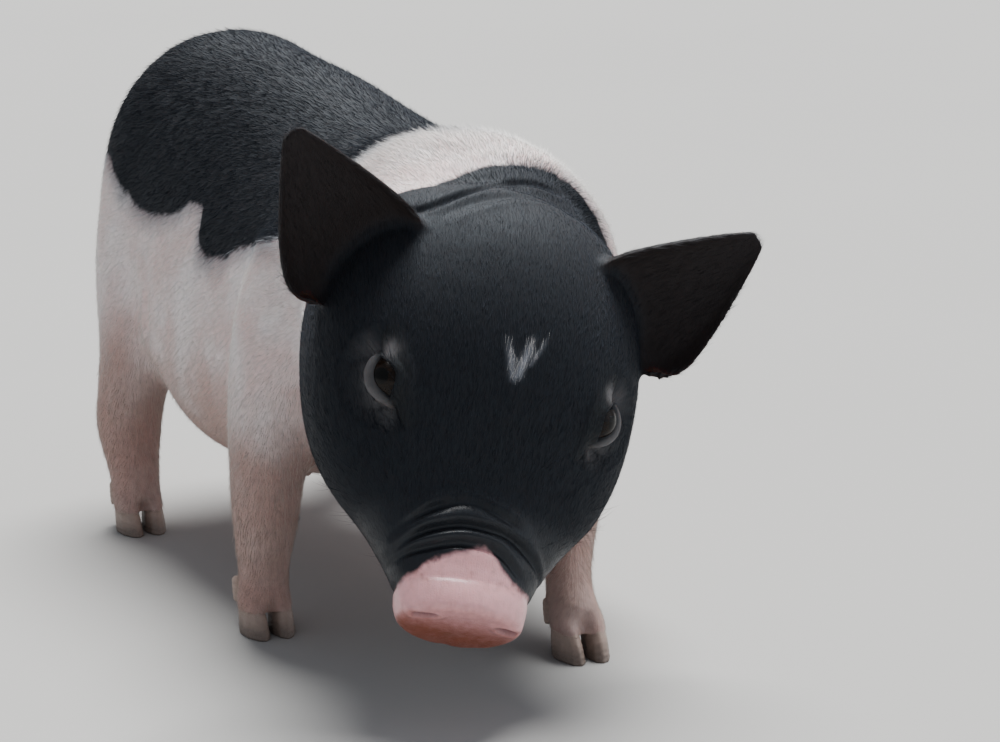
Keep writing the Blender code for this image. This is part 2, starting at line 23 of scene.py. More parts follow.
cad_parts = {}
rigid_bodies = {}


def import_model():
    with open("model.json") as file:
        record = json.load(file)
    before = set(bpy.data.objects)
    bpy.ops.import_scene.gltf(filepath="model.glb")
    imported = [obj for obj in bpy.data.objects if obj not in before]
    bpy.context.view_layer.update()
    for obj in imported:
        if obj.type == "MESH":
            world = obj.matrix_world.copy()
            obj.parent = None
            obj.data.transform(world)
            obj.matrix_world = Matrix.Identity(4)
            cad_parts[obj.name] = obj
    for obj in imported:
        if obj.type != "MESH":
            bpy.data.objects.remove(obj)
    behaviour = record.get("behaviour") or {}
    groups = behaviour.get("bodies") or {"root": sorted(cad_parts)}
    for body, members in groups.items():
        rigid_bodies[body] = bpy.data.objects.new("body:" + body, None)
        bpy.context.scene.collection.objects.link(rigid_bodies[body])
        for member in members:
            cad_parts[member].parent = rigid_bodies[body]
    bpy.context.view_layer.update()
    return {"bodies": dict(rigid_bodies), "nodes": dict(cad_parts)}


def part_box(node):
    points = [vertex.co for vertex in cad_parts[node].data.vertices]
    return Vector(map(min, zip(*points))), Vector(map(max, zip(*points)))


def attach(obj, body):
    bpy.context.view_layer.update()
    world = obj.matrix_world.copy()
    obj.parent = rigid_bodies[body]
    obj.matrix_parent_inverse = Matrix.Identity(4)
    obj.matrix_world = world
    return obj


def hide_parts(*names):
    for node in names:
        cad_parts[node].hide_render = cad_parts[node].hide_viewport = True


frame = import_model()

LOG = logging.getLogger("young_pig")
MM = 0.001
SQUARE_CM = 1e4  # to a square metre
DOUBLES = 0.01 * MM
UV_NAME = "OFBake"
LIMBS = ("foreleg_left", "foreleg_right", "hindleg_left", "hindleg_right")
LIMB_PIECES = ("upper", "lower", "foot")
TAIL_PIECES = ("tail_base", "tail_tip")

Number = Union[float, "Wire"]
Level = Union[float, np.ndarray]
Pair = tuple[float, float]
Point = tuple[float, float, float]
Colour = tuple[float, float, float]


class Slot(Enum):
    """The record's material slots."""

    WHITE = "white_skin"
    BLACK = "black_skin"
    SNOUT = "snout_skin"
    CLAW = "claw"
    EYE = "eye"


class Side(Enum):
    """The pig's two sides, each with the sign that a place on the right takes on it."""

    RIGHT = 1
    LEFT = -1

    @property
    def label(self) -> str:
        """The side's name, as the solids have it."""
        return self.name.lower()


class Wire:
    """An output socket that takes part in Python expressions."""

    def __init__(self, tree: "Tree", socket: bpy.types.NodeSocket) -> None:
        """Remember the socket and the tree that it is in."""
        self.tree = tree
        self.socket = socket

    def math(self, operation: str, *others: Number) -> "Wire":
        """Send this number and others through a Math node."""
        return self.tree.math(operation, self, *others)

    def vector(self, operation: str, *others: Any, output: int = 0) -> "Wire":
        """Send this vector and others through a Vector Math node."""
        sockets = dict(enumerate((self, *others)))
        return self.tree.add("ShaderNodeVectorMath", {"operation": operation}, sockets, output)

    def scaled(self, factor: Number) -> "Wire":
        """Multiply this vector by a number."""
        return self.tree.add("ShaderNodeVectorMath", {"operation": "SCALE"}, {0: self, "Scale": factor})

    def __add__(self, other: Number) -> "Wire":
        """Add two numbers."""
        return self.math("ADD", other)

    def __radd__(self, other: Number) -> "Wire":
        """Add two numbers."""
        return self.math("ADD", other)

    def __sub__(self, other: Number) -> "Wire":
        """Take a number from this one."""
        return self.math("SUBTRACT", other)

    def __rsub__(self, other: Number) -> "Wire":
        """Take this number from another."""
        return self.tree.math("SUBTRACT", other, self)

    def __mul__(self, other: Number) -> "Wire":
        """Multiply two numbers."""
        return self.math("MULTIPLY", other)

    def __rmul__(self, other: Number) -> "Wire":
        """Multiply two numbers."""
        return self.math("MULTIPLY", other)

    def __truediv__(self, other: Number) -> "Wire":
        """Divide this number by another."""
        return self.math("DIVIDE", other)

    def __neg__(self) -> "Wire":
        """Turn the sign of this number."""
        return self.math("MULTIPLY", -1.0)

    def split(self) -> tuple["Wire", "Wire", "Wire"]:
        """Split a vector into its three numbers."""
        node = self.tree.add("ShaderNodeSeparateXYZ", {}, {0: self}).socket.node
        return tuple(Wire(self.tree, socket) for socket in node.outputs)

    def step(self, low: float, high: float) -> "Wire":
        """Rise smoothly from 0 at one value to 1 at another."""
        sockets = {"Value": self, "From Min": low, "From Max": high}
        return self.tree.add("ShaderNodeMapRange", {"interpolation_type": "SMOOTHSTEP"}, sockets)

    def bell(self, width: float) -> "Wire":
        """A bell curve of this number, 1 at zero."""
        return (-((self / width).math("POWER", 2.0))).math("EXPONENT")


class Tree:
    """A node tree that is written as expressions."""

    def __init__(self, tree: bpy.types.NodeTree) -> None:
        """Start with an empty tree."""
        self.tree = tree
        tree.nodes.clear()

    def node(self, kind: str, settings: dict[str, Any], sockets: dict[Any, Any]) -> bpy.types.Node:
        """Add a node.

        Args:
            kind: The node's type.
            settings: Its settings, which are set first; "curve" has the points of a float curve.
            sockets: The value or the link of each socket, by name or number.

        Returns:
            The node.
        """
        node = self.tree.nodes.new(kind)
        for key, value in settings.items():
            if key == "curve":
                self.set_curve(node.mapping, value)
            else:
                setattr(node, key, value)
        for key, value in sockets.items():
            if isinstance(value, Wire):
                self.tree.links.new(value.socket, node.inputs[key])
            else:
                node.inputs[key].default_value = value
        return node

    def add(self, kind: str, settings: dict[str, Any], sockets: dict[Any, Any], output: Any = 0) -> Wire:
        """Add a node and use one of its outputs, by name or number."""
        return Wire(self, self.node(kind, settings, sockets).outputs[output])

    @staticmethod
    def set_curve(mapping: bpy.types.CurveMapping, points: list[Pair]) -> None:
        """Give a float curve its points.

        Args:
            mapping: The curve node's mapping.
            points: Its points, from 0 to 1 both ways.
        """
        curve = mapping.curves[0]
        while len(curve.points) < len(points):
            curve.points.new(0.5, 0.5)
        for point, place in zip(curve.points, points):
            point.location = place
        mapping.update()

    def math(self, operation: str, *values: Number) -> Wire:
        """Send numbers through a Math node."""
        return self.add("ShaderNodeMath", {"operation": operation}, dict(enumerate(values)))

    def mix(self, factor: Number, first: Any, second: Any) -> Wire:
        """Mix two colours, the second where the factor is 1."""
        sockets = {0: factor, 6: self.paint(first), 7: self.paint(second)}
        return self.add("ShaderNodeMix", {"data_type": "RGBA"}, sockets, 2)

    @staticmethod
    def paint(colour: Any) -> Any:
        """A colour with its alpha, or a wire as it is."""
        return colour if isinstance(colour, Wire) else (*colour, 1.0)

    def attribute(self, name: str, output: str = "Fac") -> Wire:
        """An attribute of the piece, as a number or, from the output Vector, a vector."""
        return self.add("ShaderNodeAttribute", {"attribute_name": name}, {}, output)

    def coordinates(self) -> Wire:
        """Object coordinates, in metres."""
        return self.add("ShaderNodeTexCoord", {}, {}, "Object")

    def noise(self, place: Wire, scale: float, detail: float = 2.0, rough: float = 0.5) -> Wire:
        """Noise round 0 at a place, from about -0.5 to 0.5."""
        sockets = {"Vector": place, "Scale": scale, "Detail": detail, "Roughness": rough}
        return self.add("ShaderNodeTexNoise", {}, sockets) - 0.5


def material_tree(name: str) -> tuple[bpy.types.Material, Tree]:
    """A new material and its empty tree.

    Args:
        name: The material's name.

    Returns:
        The material, and its tree.
    """
    material = bpy.data.materials.new(name)
    material.use_nodes = True
    return material, Tree(material.node_tree)


def finish_material(tree: Tree, constants: dict[str, Any], varying: dict[str, Wire]) -> None:
    """End a material in a Principled BSDF.

    Args:
        tree: The material's tree.
        constants: Values of the shader's sockets that are the same all over.
        varying: Wires of the sockets that change over the surface.
    """
    shader = tree.add("ShaderNodeBsdfPrincipled", {}, {**constants, **varying})
    tree.node("ShaderNodeOutputMaterial", {}, {"Surface": shader})


def through(points: Any, per_span: int) -> np.ndarray:
    """Points of a smooth line through a few given ones.

    Args:
        points: The given points.
        per_span: The number of steps from one to the next.

    Returns:
        The points of the line, with the given ones among them.
    """
    rows = np.array(points, float)
    ends = np.vstack([2 * rows[0] - rows[1], rows, 2 * rows[-1] - rows[-2]])
    found = []
    for i in range(len(rows) - 1):
        a, b, c, d = ends[i : i + 4]
        for t in np.arange(per_span) / per_span:
            bend = (2 * a - 5 * b + 4 * c - d) * t**2 + (3 * b - a - 3 * c + d) * t**3
            found.append(0.5 * (2 * b + (c - a) * t + bend))
    return np.array([*found, rows[-1]])


def ramp(values: np.ndarray, low: Level, high: Level) -> np.ndarray:
    """Rise smoothly from 0 at one level to 1 at another."""
    t = np.clip((values - low) / (np.asarray(high) - low), 0, 1)
    return t * t * (3 - 2 * t)


def bell(values: np.ndarray, width: float) -> np.ndarray:
    """A bell curve, 1 at zero."""
    return np.exp(-((values / width) ** 2))


def unit(vectors: np.ndarray) -> np.ndarray:
    """Vectors of length 1."""
    return vectors / np.maximum(np.linalg.norm(vectors, axis=-1, keepdims=True), 1e-9)


def linked(name: str, data: bpy.types.ID) -> bpy.types.Object:
    """Put a mesh, a light or a camera in the scene.

    Args:
        name: The object's name.
        data: What the object shows.

    Returns:
        The object.
    """
    obj = bpy.data.objects.new(name, data)
    bpy.context.scene.collection.objects.link(obj)
    return obj


def applied(obj: bpy.types.Object) -> bpy.types.Object:
    """Bake the modifiers of an object into its mesh.

    Args:
        obj: The object.

    Returns:
        The same object, with a new mesh.
    """
    bpy.context.view_layer.update()
    graph = bpy.context.evaluated_depsgraph_get()
    obj.data = bpy.data.meshes.new_from_object(obj.evaluated_get(graph))
    obj.modifiers.clear()
    return obj


def places_of(mesh: bpy.types.Mesh) -> np.ndarray:
    """The vertices of a mesh, in millimetres.

    Args:
        mesh: The mesh.

    Returns:
        A row of three numbers for each vertex.
    """
    found = np.zeros(len(mesh.vertices) * 3, np.float32)
    mesh.vertices.foreach_get("co", found)
    return found.reshape(-1, 3).astype(float) / MM


def normals_of(mesh: bpy.types.Mesh) -> np.ndarray:
    """The vertex normals of a mesh.

    Args:
        mesh: The mesh.

    Returns:
        A row of three numbers for each vertex.
    """
    found = np.zeros(len(mesh.vertices) * 3, np.float32)
    mesh.vertex_normals.foreach_get("vector", found)
    return found.reshape(-1, 3).astype(float)


def set_places(mesh: bpy.types.Mesh, places: np.ndarray) -> None:
    """Move the vertices of a mesh to places in millimetres."""
    mesh.vertices.foreach_set("co", (places * MM).astype(np.float32).ravel())
    mesh.update()


def store(mesh: bpy.types.Mesh, name: str, values: np.ndarray) -> None:
    """Keep a number or a vector for each vertex as an attribute.

    Args:
        mesh: The mesh.
        name: The attribute's name.
        values: The number or vector of each vertex.
    """
    kind, key = ("FLOAT", "value") if values.ndim == 1 else ("FLOAT_VECTOR", "vector")
    attribute = mesh.attributes.new(name, kind, "POINT")
    attribute.data.foreach_set(key, values.astype(np.float32).ravel())


def ball(bm: bmesh.types.BMesh, matrix: Matrix, segments: int = 48, rings: int = 32) -> None:
    """Add a sphere of radius 1, moved by a matrix."""
    bmesh.ops.create_uvsphere(bm, u_segments=segments, v_segments=rings, radius=1, matrix=matrix)


def shaded(mesh: bpy.types.Mesh) -> bpy.types.Mesh:
    """Shade a mesh smooth."""
    mesh.shade_smooth()
    return mesh


@dataclass(frozen=True)
class HeadFrame:
    """The head's own frame: +X to the pig's left, -Y to the snout and +Z to the brow."""

    turn: float = -14.0
    tilt: float = 15.0
    nod: float = 50.0
    eye: Point = (-28.18, -9.66, 19.66)
    eye_axis: Point = (-0.70, -0.34, 0.63)
    eye_ahead: Point = (0.0, -1.0, 0.12)
    ear_out: Point = (-0.70, 0.50, 0.52)
    ear_base: Pair = (50.0, 56.0)

    @property
    def rotation(self) -> Matrix:
        """Rotation from the head's frame to the row's.

        Returns:
            The rotation, as a matrix.
        """
        turns = ((self.turn, "Z"), (self.tilt, "Y"), (self.nod, "X"))
        found = Matrix.Identity(3)
        for angle, axis in turns:
            found = found @ Matrix.Rotation(math.radians(angle), 3, axis)
        return found

    @property
    def centre(self) -> Vector:
        """Middle of the head, found from the middle between the solid eyes."""
        middle = sum((self.eye_centre(side) for side in Side), Vector()) / 2
        return middle - self.rotation @ Vector((0, *self.eye[1:]))

    @staticmethod
    def eye_centre(side: Side) -> Vector:
        """Middle of a solid eyeball."""
        low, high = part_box(f"eye_{side.label}")
        return (low + high) / 2 / MM

    def eye_frame(self, side: Side) -> np.ndarray:
        """Axes of an eye as rows: toward the snout, up over the lid, and out through the pupil.

        Args:
            side: The eye.

        Returns:
            The three axes in the row's frame.
        """
        out = Vector((self.eye_axis[0] * side.value, *self.eye_axis[1:])).normalized()
        ahead = Vector(self.eye_ahead)
        along = (ahead - out * out.dot(ahead)).normalized()
        up = out.cross(along) * side.value
        return np.array([self.rotation @ axis for axis in (along, up, out)])

    def ear_axis(self, side: Side) -> Point:
        """Direction from the skull out along an ear."""
        return (self.ear_out[0] * side.value, *self.ear_out[1:])

    def into(self, places: np.ndarray) -> np.ndarray:
        """Places of the row's frame in the head's."""
        return (places - np.array(self.centre)) @ np.array(self.rotation)

    def out_of(self, places: Any) -> np.ndarray:
        """Places of the head's frame in the row's."""
        return np.array(places, float) @ np.array(self.rotation).T + np.array(self.centre)

    def turned(self, direction: Any) -> np.ndarray:
        """A direction of the head's frame in the row's."""
        return np.array(self.rotation) @ np.array(direction, float)


@dataclass(frozen=True)
class Groove:
    """A fold that is pressed into the skin along a smooth line, which fades towards its ends."""

    points: tuple[Point, ...]
    depth: float
    width: float
    rise: float
    per_span: int = 10
    bank_at: float = 2.1

    def lift(self, places: np.ndarray) -> np.ndarray:
        """How far the skin moves out at some places, below 0 where it moves in.

        Args:
            places: Places in the row's frame.

        Returns:
            The lift of each place.
        """
        line = through(self.points, self.per_span)
        reach = self.width * 5
        lift = np.zeros(len(places))
        near = np.all((places > line.min(0) - reach) & (places < line.max(0) + reach), axis=1)
        spots = places[near]
        best = np.full(len(spots), 1e9)
        along = np.zeros(len(spots))
        for i, (start, end) in enumerate(zip(line[:-1], line[1:])):
            span = end - start
            t = np.clip((spots - start) @ span / (span @ span), 0, 1)
            distance = np.linalg.norm(spots - start - t[:, None] * span, axis=1)
            closer = distance < best
            best[closer] = distance[closer]
            along[closer] = (i + t[closer]) / (len(line) - 1)
        fade = np.sqrt(np.clip(np.sin(math.pi * along), 0, 1))
        bank = self.rise * bell(best - self.bank_at * self.width, self.width)
        lift[near] = self.depth * fade * (bank - bell(best, self.width))
        return lift


@dataclass(frozen=True)
class Eyelids:
    """The opening between the lids, their thickness and the wrinkles round them."""

    radius: float = 7.8
    length: float = 13.0
    upper: float = 4.1
    lower: float = 2.0
    corner: float = 1.7
    thickness: float = 0.6
    sunk: float = 1.4
    crease: float = 2.7
    crease_gap: float = 2.2
    spot: Pair = (-6.9, 3.4)
    spot_width: float = 2.3
    away: float = 99.0

    def outside(self, u: np.ndarray, v: np.ndarray) -> np.ndarray:
        """Distance outside the opening, below 0 inside it, at arcs along and across the eye.

        Args:
            u: Arc of each place along the eye.
            v: Arc of each place across it, up over the lid.

        Returns:
            The distance of each place.
        """
        half = np.where(v > 0, self.upper, self.lower)
        reach = np.maximum(np.abs(u) / (self.length / 2), 1e-6)
        level = np.abs(v) / half + reach**self.corner - 1
        slope = np.hypot(1 / half, self.corner / (self.length / 2) * reach ** (self.corner - 1))
        return level / slope

    def roll(self, edge: np.ndarray, u: np.ndarray, below: np.ndarray) -> np.ndarray:
        """How full the lids are, with the crescent of the lower one."""
        crescent = below * (1 - 0.6 * np.minimum(np.abs(u) / 7.5, 1) ** 2)
        return 0.1 * bell(edge - 1.4, 1.0) + 1.1 * crescent * bell(edge - 2.2, 1.7)

    def wrinkles(self, edge: np.ndarray, u: np.ndarray, v: np.ndarray, below: np.ndarray) -> np.ndarray:
        """Depth of the two creases over the eye, the bags below it and fine rays round it.

        Args:
            edge: Distance of each place from the edge of the lids.
            u: Arc of each place along the eye.
            v: Arc of each place across it.
            below: How much each place is below the eye.

        Returns:
            The lift of each place, below 0 in a crease.
        """
        uneven = 0.7 + 0.3 * np.sin(u * 0.7 + 0.6) + 0.25 * np.sin(u * 1.6 + v)
        upper = -0.55 * bell(edge - self.crease - 0.35 * np.sin(u * 0.6), 0.6) * ramp(v, -3.0, 0.5)
        higher = edge - self.crease - self.crease_gap - 0.4 * np.sin(u * 0.5 + 1)
        second = -0.4 * bell(higher, 0.6) * ramp(v, -1.0, 2.5)
        around = np.arctan2(v, u)
        rays = 0.12 * np.sin(around * 8 + 1.3 * np.sin(around * 3) + 0.5 * edge)
        rays = rays * bell(edge - 5.4, 1.6) * below
        bags = -0.7 * bell(edge - 3.6 - 0.3 * np.sin(u * 0.8), 0.6) - 0.4 * bell(edge - 5.6, 0.7)
        return (upper + second) * uneven + bags * uneven * below + rays

    def shape(self, places: np.ndarray, head: HeadFrame, side: Side) -> tuple[np.ndarray, np.ndarray]:
        """Mould the skin round one eye.

        Args:
            places: Places of the skin.
            head: The head's frame.
            side: The eye.

        Returns:
            The new places, and the distance of each from the edge of the lids.
        """
        centre = np.array(head.eye_centre(side))
        axes = head.eye_frame(side)
        local = (places - centre) @ axes.T
        radius = np.linalg.norm(local, axis=1)
        swing = np.arctan2(np.hypot(local[:, 0], local[:, 1]), local[:, 2])
        spread = swing / np.maximum(np.sin(swing), 1e-6) * self.radius / np.maximum(radius, 1e-6)
        u, v = local[:, 0] * spread, local[:, 1] * spread
        edge = self.outside(u, v)
        near = (local[:, 2] > 0) & (radius < 2 * self.radius) & (swing < 1.5)
        wall = self.radius - self.sunk + (self.sunk + self.thickness) * ramp(edge, -0.75, 0.25)
        below = ramp(-v, -1.0, 2.0)
        lines = self.wrinkles(edge, u, v, below)
        lid = wall + self.roll(edge, u, below) + lines
        weight = np.where(near, 1 - ramp(edge, 0.6 + 2.6 * below, 4.0 + 4.0 * below), 0)
        outer = np.where(near, lines * ramp(edge, 2.6, 5.0) * (1 - ramp(edge, 6.5, 9.0)), 0)
        target = weight * lid + (1 - weight) * (radius + outer)
        moved = centre + (places - centre) * (target / np.maximum(radius, 1e-6))[:, None]
        return np.where(near[:, None], moved, places), np.where(near, edge, self.away)

    def local(self, places: np.ndarray, head: HeadFrame, side: Side) -> np.ndarray:
        """Places in the frame of an eye, far away where they are not near it.

        Args:
            places: Places in the row's frame.
            head: The head's frame.
            side: The eye.

        Returns:
            The places in the eye's frame.
        """
        local = (places - np.array(head.eye_centre(side))) @ head.eye_frame(side).T
        near = np.linalg.norm(local, axis=1) < 2 * self.radius
        return np.where(near[:, None], local, 1e3)

    def is_upper(self, places: np.ndarray, head: HeadFrame, side: Side) -> np.ndarray:
        """Which places are above the middle of an eye."""
        up = self.local(places, head, side)[:, 1]
        return (up > 0.8) & (up < 2 * self.radius)

    def lower_share(self, places: np.ndarray, head: HeadFrame) -> np.ndarray:
        """How much each place belongs to the lower lid of either eye."""
        return sum(ramp(-self.local(places, head, side)[:, 1], -0.5, 2.0) for side in Side)

    def spot_share(self, places: np.ndarray, head: HeadFrame) -> np.ndarray:
        """How much each place belongs to the spot behind the corner of either eye, where a highlight is
        painted.

        Args:
            places: Places in the row's frame.
            head: The head's frame.

        Returns:
            The share of each place, from 0 to 1.
        """
        share = np.zeros(len(places))
        for side in Side:
            local = self.local(places, head, side)
            share += bell(np.hypot(local[:, 0] - self.spot[0], local[:, 1] - self.spot[1]), self.spot_width)
        return share


@dataclass(frozen=True)
class MuzzleFold:
    """A fold across the muzzle: how far ahead it lies, its size, its middle and its reach to each side."""

    ahead: float
    depth: float
    width: float
    middle: float
    reach: float


@dataclass(frozen=True)
class Snout:
    """The disc with its nostrils, the folds behind it and the line of the mouth, in the head's frame."""

    nostrils: tuple[Pair, ...] = ((-12.0, 3.2), (12.0, 3.2))
    nostril_radii: Pair = (3.3, 1.75)
    nostril_slant: float = 0.22
    nostril_depth: float = 6.5
    roll: float = 4.5
    disc_back: float = 60.6
    disc_middle: Pair = (66.0, -1.5)
    disc_radii: Point = (19.5, 5.0, 14.5)
    disc_flat: float = 4.7
    rim: float = 0.55
    dip: float = 0.9
    folds: tuple[MuzzleFold, ...] = (
        MuzzleFold(41.6, 1.0, 1.7, -3.0, 22.0),
        MuzzleFold(46.4, 1.6, 1.7, -1.0, 27.0),
        MuzzleFold(51.4, 1.3, 1.5, -5.0, 23.0),
    )
    fold_bend: float = 0.017
    mouth: tuple[Point, ...] = (
        (0, -56.5, -18.8),
        (9, -52, -16.5),
        (16.5, -43, -14.5),
        (23.5, -32, -13.5),
        (29.5, -22, -13.5),
    )
    mouth_depth: float = 1.3
    mouth_width: float = 0.8
    lips: float = 0.5
    pink_start: float = 61.0
    pink_peak: float = 8.0
    pink_middle: float = -1.0
    pink_width: float = 11.0

    def fold_lift(self, local: np.ndarray) -> np.ndarray:
        """Folds that run across the muzzle behind the disc, with rounded rolls between them.

        Args:
            local: Places in the head's frame.

        Returns:
            The lift of each place.
        """
        x, forward, up = local[:, 0], -local[:, 1], local[:, 2]
        lift = np.zeros(len(local))
        for number, fold in enumerate(self.folds):
            wave = 0.6 * np.sin(x * 0.19 + number * 1.7) + 0.1 * np.sin(x * 0.53 + number)
            past = forward - fold.ahead - self.fold_bend * (x - fold.middle) ** 2 - wave
            crease = np.where(past > 0, bell(past, fold.width * 0.7), bell(past, fold.width))
            fade = 1 - ramp(np.abs(x - fold.middle), fold.reach * 0.45, fold.reach)
            lift += fold.depth * (0.7 * bell(past + 2.6, 1.8) - crease) * fade
        return lift * ramp(up, -6, 4) * (1 - ramp(forward, 56, 60))

    def disc_lift(self, local: np.ndarray) -> np.ndarray:
        """The crease behind the disc, and a notch in its lower edge.

        Args:
            local: Places in the head's frame.

        Returns:
            The lift of each place.
        """
        x, forward, up = local[:, 0], -local[:, 1], local[:, 2]
        crease = -0.8 * bell(forward - self.disc_back, 1.1) * (1 - ramp(forward, 62, 64))
        crease = crease * np.where(up > 0, 0.5, 1.0)
        notch = -0.35 * bell(x, 2.0) * ramp(forward, 64, 68) * ramp(-up, 4, 9)
        return crease + notch

    def on_disc(self, local: np.ndarray) -> tuple[np.ndarray, np.ndarray]:
        """Places across and up on the disc, which is rolled about its middle.

        Args:
            local: Places in the head's frame.

        Returns:
            The distance across, and the height.
        """
        angle = math.radians(self.roll)
        rise = local[:, 2] - self.disc_middle[1]
        across = local[:, 0] * math.cos(angle) - rise * math.sin(angle)
        return across, local[:, 0] * math.sin(angle) + rise * math.cos(angle) + self.disc_middle[1]

    def disc_push(self, local: np.ndarray) -> np.ndarray:
        """How far the disc moves back at each place, so that it is flat, with a thick rim and a dip.

        Args:
            local: Places in the head's frame.

        Returns:
            The push of each place.
        """
        x, up = self.on_disc(local)
        forward = -local[:, 1]
        start, height = self.disc_middle
        wide, deep, high = self.disc_radii
        across = np.minimum(np.hypot(x / wide, (up - height) / high), 1)
        was = deep * np.sqrt(1 - across**2)
        flat = self.disc_flat * (1 - across**3) ** 0.42
        face = flat + self.rim * bell(across - 0.84, 0.11) - self.dip * (1 - ramp(across, 0.3, 0.8))
        return (was - face) * ramp(forward, start - 0.5, start + 1.5)

    def hole(self, local: np.ndarray) -> np.ndarray:
        """Distance from the nearer nostril, 1 at its edge.

        Args:
            local: Places in the head's frame.

        Returns:
            The distance of each place.
        """
        x, up = self.on_disc(local)
        found = np.full(len(local), 9.0)
        wide, high = self.nostril_radii
        for middle, height in self.nostrils:
            rise = up - height + self.nostril_slant * math.copysign(1, middle) * (x - middle)
            found = np.minimum(found, np.hypot((x - middle) / wide, rise / high))
        return found

    def nostril_push(self, local: np.ndarray) -> np.ndarray:
        """How far the disc is pushed back into the head at the nostrils, in the head's frame.

        Args:
            local: Places in the head's frame.

        Returns:
            The push of each place, as a vector.
        """
        push = np.zeros_like(local)
        front = ramp(-local[:, 1], 62, 66)
        distance = self.hole(local)
        deep = self.nostril_depth * (1 - ramp(distance, 0.5, 1.05))
        push[:, 1] = (deep - 0.3 * bell(distance - 1.4, 0.3)) * front
        push[:, 2] = deep * front * 0.3
        return push

    def mouth_lines(self, head: HeadFrame) -> list[Groove]:
        """The line between the lips, on both sides.

        Args:
            head: The head's frame.

        Returns:
            A groove for each side.
        """
        found = []
        for side in Side:
            line = [(x * -side.value, y, z) for x, y, z in self.mouth]
            points = tuple(map(tuple, head.out_of(line)))
            found.append(Groove(points, self.mouth_depth, self.mouth_width, self.lips))
        return found

    def pink(self, local: np.ndarray) -> np.ndarray:
        """How bare and pink the snout is.

        Args:
            local: Places in the head's frame.

        Returns:
            The share of each place.
        """
        peak = self.pink_peak * bell(local[:, 0] - self.pink_middle, self.pink_width)
        border = self.pink_start - peak * ramp(local[:, 2], 0, 6)
        return ramp(-local[:, 1] - border, -1.0, 1.0)


BODY_FOLDS = (
    # The crease behind the crown, deepest beside the right ear.
    Groove(
        (
            (-33, -93, 133), (-28, -97.5, 135), (-22, -98.3, 136.6), (-11, -95.5, 138.6),
            (-2, -90.5, 138.8), (8, -85.5, 138), (18, -82.5, 136.5), (30, -79, 131),
        ),
        2.3,
        1.3,
        0.1,
    ),
    # A faint fold ahead of it.
    Groove(((-24, -103, 132), (-10, -101, 136), (6, -97, 136), (20, -93, 132)), 0.7, 1.6, 0.5),
    # Where the neck roll ends on the shoulders.
    Groove(
        ((-12, -80, 139), (-2, -76.5, 140.5), (8, -74, 140.5), (26, -70, 136), (42, -68, 127)),
        0.8,
        2.2,
        0.4,
    ),
    # Elbow folds, inside and behind each upper foreleg.
    Groove(((-44, -18, 84), (-49, -17, 73), (-44, -22, 62), (-35, -27, 56)), 1.7, 2.2, 0.4),
    Groove(((48, -30, 84), (51, -31, 74), (45, -36, 64), (35, -42, 57)), 1.7, 2.2, 0.4),
    # Flank folds ahead of the hams.
    Groove(((-47, 62, 92), (-47, 64, 80), (-43, 66, 70), (-34, 68, 64)), 1.5, 2.4, 0.4),
    Groove(((53, 70, 92), (54, 73, 80), (50, 76, 70), (42, 80, 64)), 1.5, 2.4, 0.4),
    # Folds of the throat.
    Groove(((-44, -84, 66), (-26, -92, 52), (-4, -95, 48), (16, -92, 52), (34, -85, 64)), 1.4, 2.0, 0.5),
    Groove(((-40, -78, 58), (-22, -85, 46), (-2, -88, 43), (16, -86, 47), (30, -80, 56)), 1.0, 2.0, 0.5),
)


